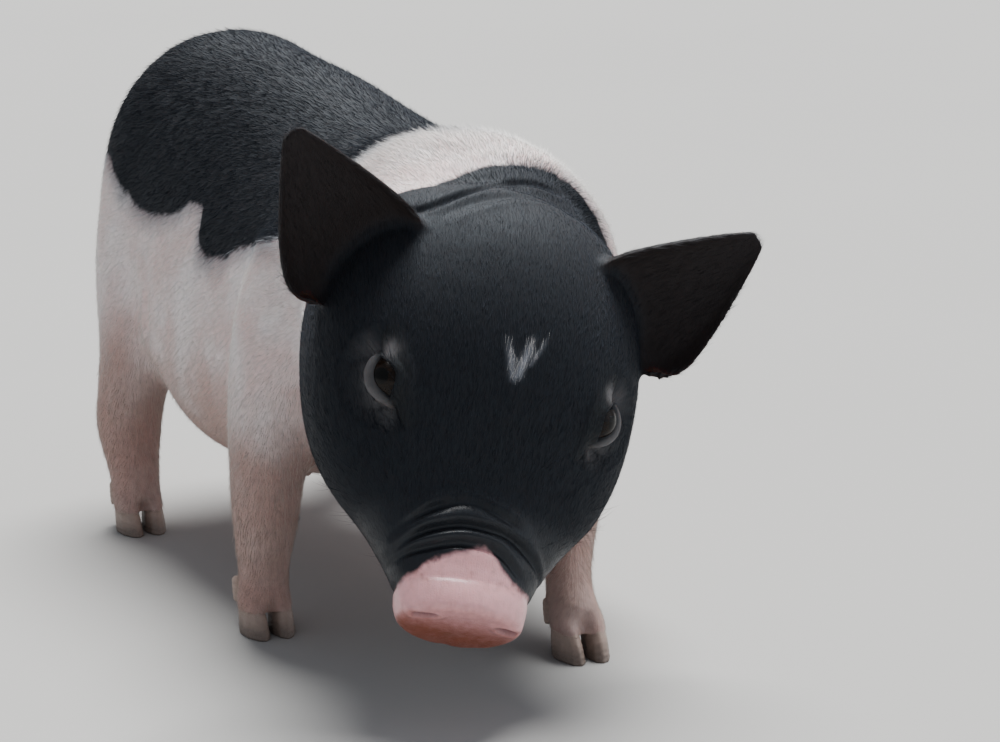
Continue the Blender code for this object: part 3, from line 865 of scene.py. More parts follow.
@dataclass
class Skin:
    """The whole skin: the solids of flesh closed over their cuts, smoothed, and moulded finer."""

    head: HeadFrame
    lids: Eyelids
    snout: Snout
    overlap: float = 0.4
    ear_overlap: float = 0.25
    socket_gap: float = 0.9
    plug_radii: Point = (5.2, 4.2, 4.4)
    plug_ahead: float = 65.8
    coronet: float = 3.2
    coronet_swell: float = 0.9
    dewclaw_share: float = 0.45
    voxel: float = 0.75
    head_rounds: int = 26
    body_rounds: int = 105
    limb_rounds: int = 36
    ear_rounds: int = 15
    limb_top: Pair = (34.0, 60.0)
    head_back: Pair = (-92.0, -78.0)
    snout_band: Pair = (50.0, 60.0)
    eye_reaches: Pair = (12.0, 8.5)
    eye_depth: float = 9.0
    muzzle: float = 38.0
    fine_back: float = -60.0
    coat: float = 1.1
    thinner: float = 0.4
    short_back: Pair = (-95.0, -75.0)
    short_top: Pair = (15.0, 60.0)
    bare_muzzle: Pair = (36.0, 56.0)
    bare_foot: Pair = (9.0, 16.0)
    teats: tuple[float, ...] = (-34.0, -16.0, 2.0, 20.0, 38.0, 54.0)
    teat_apart: float = 17.0
    teat_height: float = 1.5
    belly: float = 50.0
    body_length: float = 4.8
    part_lengths: tuple[tuple[str, float], ...] = (
        ("neck", 3.4),
        ("head", 2.7),
        ("snout", 2.7),
        ("ear_", 2.8),
        ("leg_", 3.8),
        ("foot", 3.0),
        ("tail", 6.0),
    )
    back_band: Pair = (128.0, 150.0)
    face_band: Pair = (25.0, 56.0)
    belly_band: Pair = (30.0, 50.0)
    crown_band: Pair = (8.0, 16.0)
    shoulder_band: Pair = (-42.0, -18.0)
    rump_band: Pair = (38.0, 62.0)
    comb_rounds: int = 12
    border_rounds: int = 5
    most_triangles: int = 196_000

    def nodes(self) -> list[str]:
        """Names of the solids that the skin takes the place of."""
        limbs = [f"{limb}_{piece}" for limb in LIMBS for piece in LIMB_PIECES]
        return ["torso", "neck", "head", "snout", "ear_left", "ear_right", *TAIL_PIECES, *limbs]

    def grown(self, name: str, by: float, top: float = 0.0) -> bpy.types.Mesh:
        """A copy of a solid, grown along its normals.

        Args:
            name: The solid.
            by: How far it grows.
            top: Height of its uppermost part, where only that is wanted.

        Returns:
            The mesh.
        """
        piece = bmesh.new()
        piece.from_mesh(frame["nodes"][name].data)
        bmesh.ops.remove_doubles(piece, verts=piece.verts, dist=DOUBLES)
        if top:
            level = (0, 0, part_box(name)[1].z - top * MM)
            cut = {"plane_co": level, "plane_no": (0, 0, 1), "clear_inner": True}
            bmesh.ops.bisect_plane(piece, geom=[*piece.verts, *piece.edges, *piece.faces], **cut)
            bmesh.ops.holes_fill(piece, edges=[edge for edge in piece.edges if edge.is_boundary])
        piece.normal_update()
        steps = [vert.normal * by * MM * min(vert.calc_shell_factor(), 1.8) for vert in piece.verts]
        for vert, step in zip(piece.verts, steps):
            vert.co += step
        mesh = bpy.data.meshes.new(name)
        piece.to_mesh(mesh)
        piece.free()
        return mesh

    def closed(self) -> bpy.types.Object:
        """The solids, grown so that they overlap, with filled sockets and nostrils, and the coronets.

        Returns:
            One object with all of these shapes, which still pass through each other.
        """
        whole = bmesh.new()
        extra = {name: self.ear_overlap * name.startswith("ear") for name in self.nodes()}
        meshes = [self.grown(name, self.overlap + more) for name, more in extra.items()]
        for name in (f"{limb}_{label}" for limb in LIMBS for label in Claws.labels()):
            size = self.dewclaw_share if "dewclaw" in name else 1.0
            meshes.append(self.grown(name, self.overlap + self.coronet_swell * size, self.coronet * size))
        for mesh in meshes:
            whole.from_mesh(mesh)
            bpy.data.meshes.remove(mesh)
        socket = Matrix.Diagonal(((self.lids.radius + self.socket_gap) * MM,) * 3 + (1,))
        for side in Side:
            ball(whole, Matrix.Translation(self.head.eye_centre(side) * MM) @ socket)
        turn = self.head.rotation.to_4x4()
        plug = Matrix.Diagonal((*(radius * MM for radius in self.plug_radii), 1))
        lean = math.sin(math.radians(self.snout.roll))
        for middle, height in self.snout.nostrils:
            spot = Vector(self.head.out_of((middle, -self.plug_ahead, height - middle * lean)))
            ball(whole, Matrix.Translation(spot * MM) @ turn @ plug)
        mesh = bpy.data.meshes.new("skin")
        whole.to_mesh(mesh)
        whole.free()
        return linked("skin", mesh)

    def smoothed(self, obj: bpy.types.Object) -> bpy.types.Object:
        """One closed surface over the solids, smooth on the body and crisper on the head and feet.

        Args:
            obj: The object of the closed shapes.

        Returns:
            The same object.
        """
        remesh = obj.modifiers.new("Remesh", "REMESH")
        remesh.mode = "VOXEL"
        remesh.voxel_size = self.voxel * MM
        applied(obj)
        places = places_of(obj.data)
        local = self.head.into(places)
        ears = self.ear_share(places)
        limb = 1 - ramp(places[:, 2], *self.limb_top)
        ahead = 1 - ramp(places[:, 1], *self.head_back)
        snout = ramp(-local[:, 1], *self.snout_band)
        body = (1 - ahead) * (1 - limb) * (1 - ears) * (1 - self.tail_share(places))
        shares = {
            "head": (ahead * (1 - 0.75 * snout) * (1 - 0.8 * ears), self.head_rounds),
            "limb": (limb, self.limb_rounds),
            "body": (body, self.body_rounds),
            "all": (np.ones(len(places)), self.ear_rounds),
        }
        for name, (share, rounds) in shares.items():
            group = obj.vertex_groups.new(name=name)
            levels = np.round(np.clip(share, 0, 1) * 10).astype(int)
            for level in range(1, 11):
                group.add(np.flatnonzero(levels == level).tolist(), level / 10, "REPLACE")
            smooth = obj.modifiers.new("Smooth", "SMOOTH")
            smooth.factor = 0.5
            smooth.iterations = rounds
            smooth.vertex_group = name
        applied(obj)
        obj.vertex_groups.clear()
        return obj

    def ear_share(self, places: np.ndarray) -> np.ndarray:
        """How much a place belongs to an ear: 1 on it, 0 on the head.

        Args:
            places: Places in the row's frame.

        Returns:
            The share of each place.
        """
        share = np.zeros(len(places))
        for side in Side:
            name = f"ear_{side.label}"
            low, high = (np.array(corner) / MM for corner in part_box(name))
            near = np.flatnonzero(np.all((places > low - 4) & (places < high + 4), axis=1))
            mesh = frame["nodes"][name].data
            faces = [tuple(face.vertices) for face in mesh.polygons]
            finder = BVHTree.FromPolygons([vert.co for vert in mesh.vertices], faces)
            gap = np.array([finder.find_nearest(Vector(place * MM))[3] for place in places[near]]) / MM
            out = self.head.into(places[near]) @ self.head.ear_axis(side)
            found = (1 - ramp(gap, 1.0, 3.5)) * ramp(out, *self.head.ear_base)
            share[near] = np.maximum(share[near], found)
        return share

    @staticmethod
    def tail_share(places: np.ndarray) -> np.ndarray:
        """Where the tail is.

        Args:
            places: Places in the row's frame.

        Returns:
            1 on the tail, and 0 elsewhere.
        """
        low, high = (np.array(corner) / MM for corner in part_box("tail_tip"))
        beside = np.all((places[:, :2] > low[:2] - 1) & (places[:, :2] < high[:2] + 1), axis=1)
        return beside * 1.0 * (places[:, 2] < high[2] + 8)

    def refined(self, obj: bpy.types.Object) -> None:
        """Cut the faces finer round the eyes and on the snout.

        Args:
            obj: The skin.
        """
        bm = bmesh.new()
        bm.from_mesh(obj.data)
        head, depth = self.head, self.eye_depth
        ahead, centre = -head.rotation.col[1], head.centre
        eyes = [head.eye_centre(side) + Vector(head.eye_frame(side)[2]) * depth for side in Side]
        for reach, muzzle in zip(self.eye_reaches, (self.muzzle, math.inf)):
            chosen = []
            for face in bm.faces:
                middle = face.calc_center_median() / MM
                if middle.y > self.fine_back:
                    continue
                forward = (middle - centre).dot(ahead)
                if forward > muzzle or any((middle - eye).length < reach for eye in eyes):
                    chosen.append(face)
            edges = list({edge for face in chosen for edge in face.edges})
            bmesh.ops.subdivide_edges(bm, edges=edges, cuts=1, use_grid_fill=True)
        bmesh.ops.triangulate(bm, faces=[face for face in bm.faces if len(face.verts) > 4])
        bm.to_mesh(obj.data)
        bm.free()

    def coat_depth(self, places: np.ndarray) -> np.ndarray:
        """Depth of the coat at each place, by which the skin lies inside the solids.

        Args:
            places: Places in the row's frame.

        Returns:
            The depth at each place.
        """
        local = self.head.into(places)
        depth = np.full(len(places), self.coat)
        depth += -self.thinner * (1 - ramp(places[:, 1], *self.short_back))
        depth += -self.thinner * (1 - ramp(places[:, 2], *self.short_top))
        depth *= 1 - ramp(-local[:, 1], *self.bare_muzzle)
        depth *= 0.25 + 0.75 * ramp(places[:, 2], *self.bare_foot)
        depth *= 1 - 0.8 * self.tail_share(places)
        return depth * (1 - self.ear_share(places))

    def teat_lift(self, places: np.ndarray) -> np.ndarray:
        """Two rows of small teats along the belly.

        Args:
            places: Places in the row's frame.

        Returns:
            The lift of each place.
        """
        lift = np.zeros(len(places))
        low = places[:, 2] < self.belly
        for side in Side:
            for y in self.teats:
                distance = np.hypot(places[:, 0] - side.value * self.teat_apart, places[:, 1] - y)
                lift += self.teat_height * (1 - ramp(distance, 0.8, 2.3)) * low
        return lift

    def moulded(self, obj: bpy.types.Object) -> None:
        """Mould lids, nostrils, lips and folds, and store where lids, disc and nostrils are.

        Args:
            obj: The skin.
        """
        mesh = obj.data
        places, normals = places_of(mesh), normals_of(mesh)
        overlap = self.overlap * (1 - 0.6 * self.ear_share(places))
        places = places - normals * (overlap + self.coat_depth(places))[:, None]
        local = self.head.into(places)
        lift = self.snout.fold_lift(local) + self.snout.disc_lift(local) + self.teat_lift(places)
        for groove in (*BODY_FOLDS, *self.snout.mouth_lines(self.head)):
            lift += groove.lift(places)
        places = places + normals * lift[:, None]
        push = self.snout.nostril_push(local)
        push[:, 1] += self.snout.disc_push(local)
        places = places + push @ np.array(self.head.rotation).T
        edges = np.full(len(places), self.lids.away)
        for side in Side:
            places, edge = self.lids.shape(places, self.head, side)
            edges = np.minimum(edges, edge)
        set_places(mesh, places)
        store(mesh, "lid_edge", edges)
        lower, spot = self.lids.lower_share(places, self.head), self.lids.spot_share(places, self.head)
        # Share of a painted highlight: light grey on the lower lid's roll and on the spot behind the corner
        # of each eye.
        store(mesh, "lid_light", np.clip(0.7 * lower * bell(edges - 2.4, 2.3) + 1.3 * spot, 0, 1))
        # The disc's front face is painted deeper red: partly its own colour, partly painted shade that
        # grows towards its lower edge.
        ahead = -normals_of(mesh) @ np.array(self.head.rotation)[:, 1]
        painted_shade_below = 0.3 + 0.7 * ramp(-self.snout.on_disc(local)[1], -9, 7)
        store(mesh, "face", ramp(ahead, 0.15, 0.9) * ramp(-local[:, 1], 61, 64) * painted_shade_below)
        store(mesh, "hole", (1 - ramp(self.snout.hole(local), 0.6, 1.25)) * ramp(-local[:, 1], 62, 66))

    def build(self) -> bpy.types.Object:
        """Make the skin's mesh, with the attributes that its coat grows by.

        Returns:
            The skin.
        """
        obj = self.smoothed(self.closed())
        LOG.info("skin closed and smoothed: %d faces", len(obj.data.polygons))
        self.refined(obj)
        self.moulded(obj)
        triangles = sum(len(face.vertices) - 2 for face in obj.data.polygons)
        if triangles > self.most_triangles:
            reduce = obj.modifiers.new("Decimate", "DECIMATE")
            reduce.ratio = self.most_triangles / triangles
            applied(obj)
        shaded(obj.data)
        self.unwrap(obj)
        self.comb(obj)
        LOG.info("skin: %d triangles before, %d faces now", triangles, len(obj.data.polygons))
        return obj

    @staticmethod
    def unwrap(obj: bpy.types.Object) -> None:
        """Unwrap the skin's own shape into its UV map.

        Args:
            obj: The skin.
        """
        obj.data.uv_layers.new(name=UV_NAME)
        bpy.context.view_layer.objects.active = obj
        obj.select_set(True)
        bpy.ops.object.mode_set(mode="EDIT")
        bpy.ops.mesh.select_all(action="SELECT")
        bpy.ops.uv.smart_project(angle_limit=math.radians(66), island_margin=0.001)
        bpy.ops.object.mode_set(mode="OBJECT")

    def comb(self, obj: bpy.types.Object) -> None:
        """Store the lie of the coat, its length and the share of each of its patches at every vertex.

        Args:
            obj: The skin.
        """
        mesh = obj.data
        places, owner = places_of(mesh), self.owners(places_of(mesh))
        store(mesh, "lie", self.relaxed(mesh, unit(self.directions(places, owner)), normals_of(mesh)))
        store(mesh, "bristle_length", self.relaxed_number(mesh, self.lengths(places, owner)) * MM)
        ears = self.is_part(owner, "ear_")
        store(mesh, "ear", self.relaxed_number(mesh, ears * 1.0, self.border_rounds))
        store(mesh, "dark", self.relaxed_number(mesh, (ears | (owner == "head")) * 1.0, self.border_rounds))
        self.shares(mesh, places, owner)

    @staticmethod
    def is_part(owner: np.ndarray, text: str) -> np.ndarray:
        """Where the name of the nearest solid holds a text."""
        return np.char.find(owner, text) >= 0

    def directions(self, places: np.ndarray, owner: np.ndarray) -> np.ndarray:
        """The way that the coat is combed: back and down on the body, down the legs, out along the ears.

        Args:
            places: Places in the row's frame.
            owner: The solid that each place is nearest to.

        Returns:
            A direction for each place, not yet along the skin.
        """
        lie = np.tile(np.array((0.0, 1.0, -0.25)), (len(places), 1))
        flank = np.sign(places[:, 0])[:, None] * ramp(np.abs(places[:, 0]), 10, 45)[:, None]
        lie += flank * np.array((0.15, 0.0, 0.0)) - np.abs(flank) * np.array((0, 0, 0.45))
        limb = self.is_part(owner, "leg_")
        lie[limb] = (0, 0.25, -1.0)
        upper = limb & self.is_part(owner, "upper")
        high = ramp(places[:, 2], 55, 105)[:, None]
        lie[upper] = lie[upper] * (1 - high[upper]) + np.array((0, 1.0, -0.6)) * high[upper]
        lie[np.isin(owner, ("head", "snout"))] = self.head.turned((0, 1.0, -0.1))
        lie[owner == "neck"] = (0.05, 1.0, -0.2)
        for side in Side:
            lie[owner == f"ear_{side.label}"] = self.head.turned(self.head.ear_axis(side))
        lie[self.is_part(owner, "tail")] = (0, 0.1, -1.0)
        return lie

    def lengths(self, places: np.ndarray, owner: np.ndarray) -> np.ndarray:
        """Length of the bristles, longer along the back, and shorter on the muzzle and under the belly.

        Args:
            places: Places in the row's frame.
            owner: The solid that each place is nearest to.

        Returns:
            The length at each place, in millimetres.
        """
        length = np.full(len(places), self.body_length)
        for part, part_length in self.part_lengths:
            length[self.is_part(owner, part)] = part_length
        forward = -self.head.into(places)[:, 1]
        length = length + 1.0 * ramp(places[:, 2], *self.back_band) * (places[:, 1] > -70)
        length = length * (1 - 0.55 * ramp(forward, *self.face_band))
        return length * (1 - 0.5 * (1 - ramp(places[:, 2], *self.belly_band)) * (owner == "torso"))

    def owners(self, places: np.ndarray) -> np.ndarray:
        """The solid that each place is nearest to.

        Args:
            places: Places in the row's frame.

        Returns:
            The name of a solid for each place.
        """
        names, points, faces, face_owner = self.nodes(), [], [], []
        for number, name in enumerate(names):
            mesh = frame["nodes"][name].data
            start = len(points)
            points += [vert.co.copy() for vert in mesh.vertices]
            faces += [tuple(start + v for v in face.vertices) for face in mesh.polygons]
            face_owner += [number] * len(mesh.polygons)
        finder = BVHTree.FromPolygons(points, faces)
        found = [face_owner[finder.find_nearest(Vector(place * MM))[2]] for place in places]
        return np.array(names)[found]

    @staticmethod
    def neighbours(mesh: bpy.types.Mesh) -> tuple[np.ndarray, np.ndarray, np.ndarray]:
        """Both ends of each edge, and the number of edges at each vertex.

        Args:
            mesh: The mesh.

        Returns:
            The first and the second end of each edge, both ways round, and the count at each vertex.
        """
        ends = np.zeros(len(mesh.edges) * 2, np.int32)
        mesh.edges.foreach_get("vertices", ends)
        ends = ends.reshape(-1, 2)
        first, second = np.concatenate([ends, ends[:, ::-1]]).T
        return first, second, np.bincount(first, minlength=len(mesh.vertices))

    def relaxed_number(self, mesh: bpy.types.Mesh, values: np.ndarray, rounds: int = 0) -> np.ndarray:
        """Even out a number over the surface.

        Args:
            mesh: The mesh.
            values: The number of each vertex.
            rounds: How often, or 0 for the usual number.

        Returns:
            The new numbers.
        """
        first, second, count = self.neighbours(mesh)
        for _ in range(rounds or self.comb_rounds):
            values = np.bincount(first, values[second], len(values)) / np.maximum(count, 1)
        return values

    def relaxed(self, mesh: bpy.types.Mesh, lie: np.ndarray, normals: np.ndarray) -> np.ndarray:
        """Even out directions over the surface, and keep them along it.

        Args:
            mesh: The mesh.
            lie: The direction at each vertex.
            normals: The vertex normals.

        Returns:
            The new directions.
        """
        first, second, _ = self.neighbours(mesh)
        for _ in range(self.comb_rounds):
            lie = lie - normals * np.sum(lie * normals, axis=1, keepdims=True)
            lie = unit(lie)
            lie = np.stack([np.bincount(first, lie[second, i], len(lie)) for i in range(3)], axis=1)
        lie = lie - normals * np.sum(lie * normals, axis=1, keepdims=True)
        return unit(lie)

    def shares(self, mesh: bpy.types.Mesh, places: np.ndarray, owner: np.ndarray) -> None:
        """Store how densely each patch of the coat grows at every vertex.

        Args:
            mesh: The skin's mesh.
            places: Places in the row's frame.
            owner: The solid that each place is nearest to.
        """
        edges = np.zeros(len(places), np.float32)
        mesh.attributes["lid_edge"].data.foreach_get("value", edges)
        local = self.head.into(places)
        lower = self.lids.lower_share(places, self.head)
        spot = self.lids.spot_share(places, self.head)
        bare = 1 - self.snout.pink(local)
        bare *= ramp(edges, 0.3 + 1.5 * lower, 2.2 + 2.6 * lower) * (1 - spot)
        regions = {
            "head": np.isin(owner, ("head", "snout")),
            "legs": self.is_part(owner, "leg_"),
            "trunk": np.isin(owner, ("torso", "neck")),
            "ears": self.is_part(owner, "ear_"),
            "tail": self.is_part(owner, "tail"),
        }
        rounds = self.border_rounds
        soft = {name: self.relaxed_number(mesh, region * 1.0, rounds) for name, region in regions.items()}
        head, trunk, ears = soft["head"] * bare, soft["trunk"], soft["ears"]
        high = ramp(local[:, 2], *self.crown_band)
        middle, rear = ramp(places[:, 1], *self.shoulder_band), ramp(places[:, 1], *self.rump_band)
        hind = places[:, 1] >= 0
        shares = {
            "crown": head * high,
            "cheeks": head * (1 - high),
            "ears": ears,
            "shoulders": trunk * (1 - middle),
            "back": trunk * middle * (1 - rear),
            "rump": trunk * rear + soft["tail"],
            "forelegs": soft["legs"] * (1 - hind),
            "hindlegs": soft["legs"] * hind,
        }
        for name, share in shares.items():
            store(mesh, f"coat_{name}", share)
        across, forward, down = np.abs(local[:, 0]), -local[:, 1], -local[:, 2]
        muzzle = ramp(forward, 24, 34) * (1 - ramp(forward, 57, 60))
        chin = ramp(down, 6, 14) * ramp(forward, 15, 28) * (1 - ramp(across, 16, 24))
        store(mesh, "coat_whiskers", np.maximum(muzzle, chin) * head)
        upper = sum(self.lids.is_upper(places, self.head, side) * 1.0 for side in Side)
        store(mesh, "coat_lashes", (edges > 0.1) * (edges < 0.9) * (upper > 0) * 1.0)
        self.ear_rim(mesh, ears)

    def ear_rim(self, mesh: bpy.types.Mesh, ears: np.ndarray) -> None:
        """Store where the rims of the ears are: the thin edge, where the surface turns round.

        Args:
            mesh: The skin's mesh.
            ears: How much each vertex belongs to an ear.
        """
        normals = normals_of(mesh)
        first, second, count = self.neighbours(mesh)
        mean = np.stack([np.bincount(first, normals[second, i], len(normals)) for i in range(3)], axis=1)
        turn = 1 - np.linalg.norm(mean, axis=1) / np.maximum(count, 1)
        store(mesh, "coat_rims", ears * ramp(self.relaxed_number(mesh, turn, 2), 0.05, 0.12))


@dataclass(frozen=True)
class Patch:
    """One patch of bristles: where it grows, how densely, and how its bristles are built.

    The density is the number of bristles to a square centimetre, the lift is their angle to the skin in
    degrees, the stretch multiplies the coat's own length, and the width is that of a root.
    """

    name: str
    density: float
    lift: float = 20.0
    stretch: float = 1.0
    width: float = 0.16
    curl: float = 0.22
    segments: int = 1
    slot: Slot = Slot.BLACK
    most: int = 45_000


PATCHES = (
    Patch("crown", 480, 9, width=0.085),
    Patch("cheeks", 480, 9, width=0.085),
    Patch("ears", 420, 10, width=0.08),
    Patch("shoulders", 400, 16, width=0.095, slot=Slot.WHITE),
    Patch("back", 400, 13, width=0.1),
    Patch("rump", 400, 13, width=0.1),
    Patch("forelegs", 400, 13, width=0.09, slot=Slot.WHITE),
    Patch("hindlegs", 400, 13, width=0.09, slot=Slot.WHITE),
    Patch("rims", 260, 28, stretch=1.4, width=0.1),
    Patch("whiskers", 5.0, 40, stretch=3.0, width=0.2, curl=0.16, segments=5),
    Patch("lashes", 260, 45, stretch=1.4, width=0.16, curl=-0.25, segments=3),
)


@dataclass
class Coat:
    """The bristles, which Geometry Nodes grow over the skin."""

    skin: bpy.types.Object
    material: bpy.types.Material
    uv_size: float = 0.003
    sway: float = 0.22
    usual_length: float = 4.5
    shade_seed: int = 3
    lift_seed: int = 5
    sway_seed: int = 7
    length_seed: int = 11
    first_seed: int = 20
    skin_only: tuple[str, ...] = ("root_uv", "lie", "bristle_length", "lid_", "hole", "face", "coat_")

    def tree(self) -> bpy.types.GeometryNodeTree:
        """The tree that grows the bristles of a patch.

        Returns:
            The tree, with an input for each size.
        """
        group = bpy.data.node_groups.new("bristles", "GeometryNodeTree")
        inputs = {
            "Skin": "NodeSocketGeometry",
            "Share": "NodeSocketString",
            "Density": "NodeSocketFloat",
            "Stretch": "NodeSocketFloat",
            "Slenderness": "NodeSocketFloat",
            "Lift": "NodeSocketFloat",
            "Curl": "NodeSocketFloat",
            "Segments": "NodeSocketInt",
            "Seed": "NodeSocketInt",
            "Finish": "NodeSocketMaterial",
        }
        for name, kind in inputs.items():
            group.interface.new_socket(name=name, in_out="INPUT", socket_type=kind)
        group.interface.new_socket(name="Bristles", in_out="OUTPUT", socket_type="NodeSocketGeometry")
        tree = Tree(group)
        given = tree.node("NodeGroupInput", {}, {})
        value = {name: Wire(tree, given.outputs[name]) for name in inputs}
        roots, turn = self.points(tree, value)
        bristle, drawn = self.bristle(tree, value)
        length = self.named(tree, "bristle_length", "FLOAT") * value["Stretch"]
        length = length * self.random(tree, 0.7, 1.2, self.length_seed)
        sockets = {"Points": roots, "Instance": bristle, "Rotation": turn, "Scale": length}
        grown = tree.add("GeometryNodeInstanceOnPoints", {}, sockets)
        real = tree.add("GeometryNodeRealizeInstances", {}, {"Geometry": grown})
        flat = drawn.vector("SUBTRACT", (0.5, 0.5, 0.0)).scaled(self.uv_size)
        place = self.named(tree, "root_uv", "FLOAT_VECTOR").vector("ADD", flat)
        settings = {"data_type": "FLOAT2", "domain": "CORNER"}
        sockets = {"Geometry": real, "Name": UV_NAME, "Value": place}
        mapped = tree.add("GeometryNodeStoreNamedAttribute", settings, sockets)
        dressed = tree.add("GeometryNodeSetMaterial", {}, {"Geometry": mapped, "Material": value["Finish"]})
        tree.node("NodeGroupOutput", {}, {"Bristles": dressed})
        return group

    def points(self, tree: Tree, value: dict[str, Wire]) -> tuple[Wire, Wire]:
        """Roots of the bristles on the skin, with what they keep of it, and the way each one points.

        Args:
            tree: The tree.
            value: The tree's inputs, by name.

        Returns:
            The points, and the rotation of each bristle.
        """
        share = self.named(tree, value["Share"], "FLOAT")
        sockets = {"Mesh": value["Skin"], "Density": share * value["Density"], "Seed": value["Seed"]}
        spread = tree.node("GeometryNodeDistributePointsOnFaces", {"distribute_method": "RANDOM"}, sockets)
        normal = Wire(tree, spread.outputs["Normal"])
        position = tree.add("GeometryNodeInputPosition", {}, {})
        kept = self.kept(tree, Wire(tree, spread.outputs["Points"]), "root", position)
        kept = self.kept(tree, kept, "root_uv", self.named(tree, UV_NAME, "FLOAT_VECTOR"))
        kept = self.kept(tree, kept, "shade", self.random(tree, 0.0, 1.0, self.shade_seed), "FLOAT")
        # The rim share is kept for the bristles' painted rim light.
        for name, source in {"dark": "dark", "ear": "ear", "rim": "coat_rims"}.items():
            kept = self.kept(tree, kept, name, self.named(tree, source, "FLOAT"), "FLOAT")
        settings = {"data_type": "FLOAT_VECTOR"}
        sockets = {0: (-1.0,) * 3, 1: (1.0,) * 3, "Seed": self.sway_seed}
        sway = tree.add("FunctionNodeRandomValue", settings, sockets).vector("MULTIPLY", (self.sway,) * 3)
        lie = self.named(tree, "lie", "FLOAT_VECTOR").vector("ADD", sway).vector("NORMALIZE")
        lift = value["Lift"] * self.random(tree, 0.6, 1.5, self.lift_seed)
        along = lie.scaled(lift.math("COSINE"))
        out = normal.scaled(lift.math("SINE"))
        sockets = {"Primary Axis": along.vector("ADD", out), "Secondary Axis": normal}
        settings = {"primary_axis": "Z", "secondary_axis": "X"}
        return kept, tree.add("FunctionNodeAxesToRotation", settings, sockets)

    def bristle(self, tree: Tree, value: dict[str, Wire]) -> tuple[Wire, Wire]:
        """One bristle of length 1, three-sided, tapered and bent back to the skin, and its UV map.

        Args:
            tree: The tree.
            value: The tree's inputs, by name.

        Returns:
            The bristle, and its UV map.
        """
        sockets = {
            "Vertices": 3,
            "Side Segments": value["Segments"],
            "Fill Segments": 1,
            "Radius Top": 0.0,
            "Radius Bottom": value["Slenderness"],
            "Depth": 1.0,
        }
        cone = tree.node("GeometryNodeMeshCone", {"fill_type": "NGON"}, sockets)
        drawn = Wire(tree, cone.outputs["UV Map"])
        up = tree.add("GeometryNodeInputPosition", {}, {}).split()[2]
        kept = self.kept(tree, Wire(tree, cone.outputs["Mesh"]), "along", up, "FLOAT")
        bend = tree.add("ShaderNodeCombineXYZ", {}, {"X": -(up * up * value["Curl"])})
        bent = tree.add("GeometryNodeSetPosition", {}, {"Geometry": kept, "Offset": bend})
        return tree.add("GeometryNodeSetShadeSmooth", {}, {"Geometry": bent}), drawn

    @staticmethod
    def named(tree: Tree, name: Any, kind: str) -> Wire:
        """An attribute of the skin."""
        return tree.add("GeometryNodeInputNamedAttribute", {"data_type": kind}, {"Name": name})

    @staticmethod
    def kept(tree: Tree, geometry: Wire, name: str, value: Wire, kind: str = "FLOAT_VECTOR") -> Wire:
        """Keep a value at each point."""
        sockets = {"Geometry": geometry, "Name": name, "Value": value}
        return tree.add("GeometryNodeStoreNamedAttribute", {"data_type": kind, "domain": "POINT"}, sockets)

    @staticmethod
    def random(tree: Tree, low: float, high: float, seed: int) -> Wire:
        """A random number for each point."""
        sockets = {2: low, 3: high, "Seed": seed}
        return tree.add("FunctionNodeRandomValue", {"data_type": "FLOAT"}, sockets, 1)

    def area(self, patch: Patch) -> float:
        """Area of a patch in square metres, by its share.

        Args:
            patch: The patch.

        Returns:
            The area.
        """
        mesh = self.skin.data
        share = np.zeros(len(mesh.vertices), np.float32)
        mesh.attributes[f"coat_{patch.name}"].data.foreach_get("value", share)
        return sum(face.area * share[face.vertices[0]] for face in mesh.polygons)

    def grow(self, group: bpy.types.GeometryNodeTree, patch: Patch, seed: int) -> bpy.types.Object:
        """Grow one patch as a plain mesh.

        Args:
            group: The tree that grows bristles.
            patch: The patch.
            seed: Seed of its random numbers.

        Returns:
            The piece.
        """
        area = self.area(patch)
        most = min(patch.density * SQUARE_CM * area, patch.most)
        values = {
            "Share": f"coat_{patch.name}",
            "Density": most / max(area, 1e-9),
            "Stretch": patch.stretch,
            "Slenderness": patch.width / 2 / (self.usual_length * patch.stretch),
            "Lift": math.radians(patch.lift),
            "Curl": patch.curl,
            "Segments": patch.segments,
            "Seed": seed,
            "Finish": self.material,
        }
        carrier = linked("carrier", self.skin.data)
        modifier = carrier.modifiers.new("Bristles", "NODES")
        modifier.node_group = group
        for socket in group.interface.items_tree:
            if socket.in_out == "INPUT" and socket.name in values:
                modifier[socket.identifier] = values[socket.name]
        bpy.context.view_layer.update()
        graph = bpy.context.evaluated_depsgraph_get()
        mesh = bpy.data.meshes.new_from_object(carrier.evaluated_get(graph))
        bpy.data.objects.remove(carrier)
        for name in [attribute.name for attribute in mesh.attributes]:
            if name.startswith(self.skin_only):
                mesh.attributes.remove(mesh.attributes[name])
        mesh.name = f"coat_{patch.name}"
        piece = linked(mesh.name, mesh)
        LOG.info("%s: %.0f cm2, %d faces", mesh.name, area * SQUARE_CM, len(mesh.polygons))
        return piece

    def build(self) -> list[tuple[bpy.types.Object, Patch]]:
        """Grow every patch."""
        group, seeds = self.tree(), range(self.first_seed, self.first_seed + len(PATCHES))
        return [(self.grow(group, patch, seed), patch) for seed, patch in zip(seeds, PATCHES)]


@dataclass(frozen=True)
class Border:
    """A smooth line over the body, which gives one measure of a place from another."""

    points: tuple[Pair, ...]
    given: Pair
    found: Pair

    def at(self, tree: Tree, value: Wire) -> Wire:
        """Where the line runs.

        Args:
            tree: The material's tree.
            value: The measure that is given.

        Returns:
            The measure that the line has there.
        """
        (left, right), (low, high) = self.given, self.found
        points = [((a - left) / (right - left), (b - low) / (high - low)) for a, b in self.points]
        along = (value - left) / (right - left)
        return tree.add("ShaderNodeFloatCurve", {"curve": points}, {"Value": along}) * (high - low) + low


# The height of the saddle's lower border, along the body.
SADDLE_BORDER = Border(
    (
        (-70, 121),
        (-44, 119),
        (-6, 110),
        (20, 103.5),
        (29, 110),
        (34, 117),
        (52, 112),
        (70, 109.5),
        (92, 113),
        (115, 122),
        (150, 124),
    ),
    (-70.0, 150.0),
    (95.0, 135.0),
)
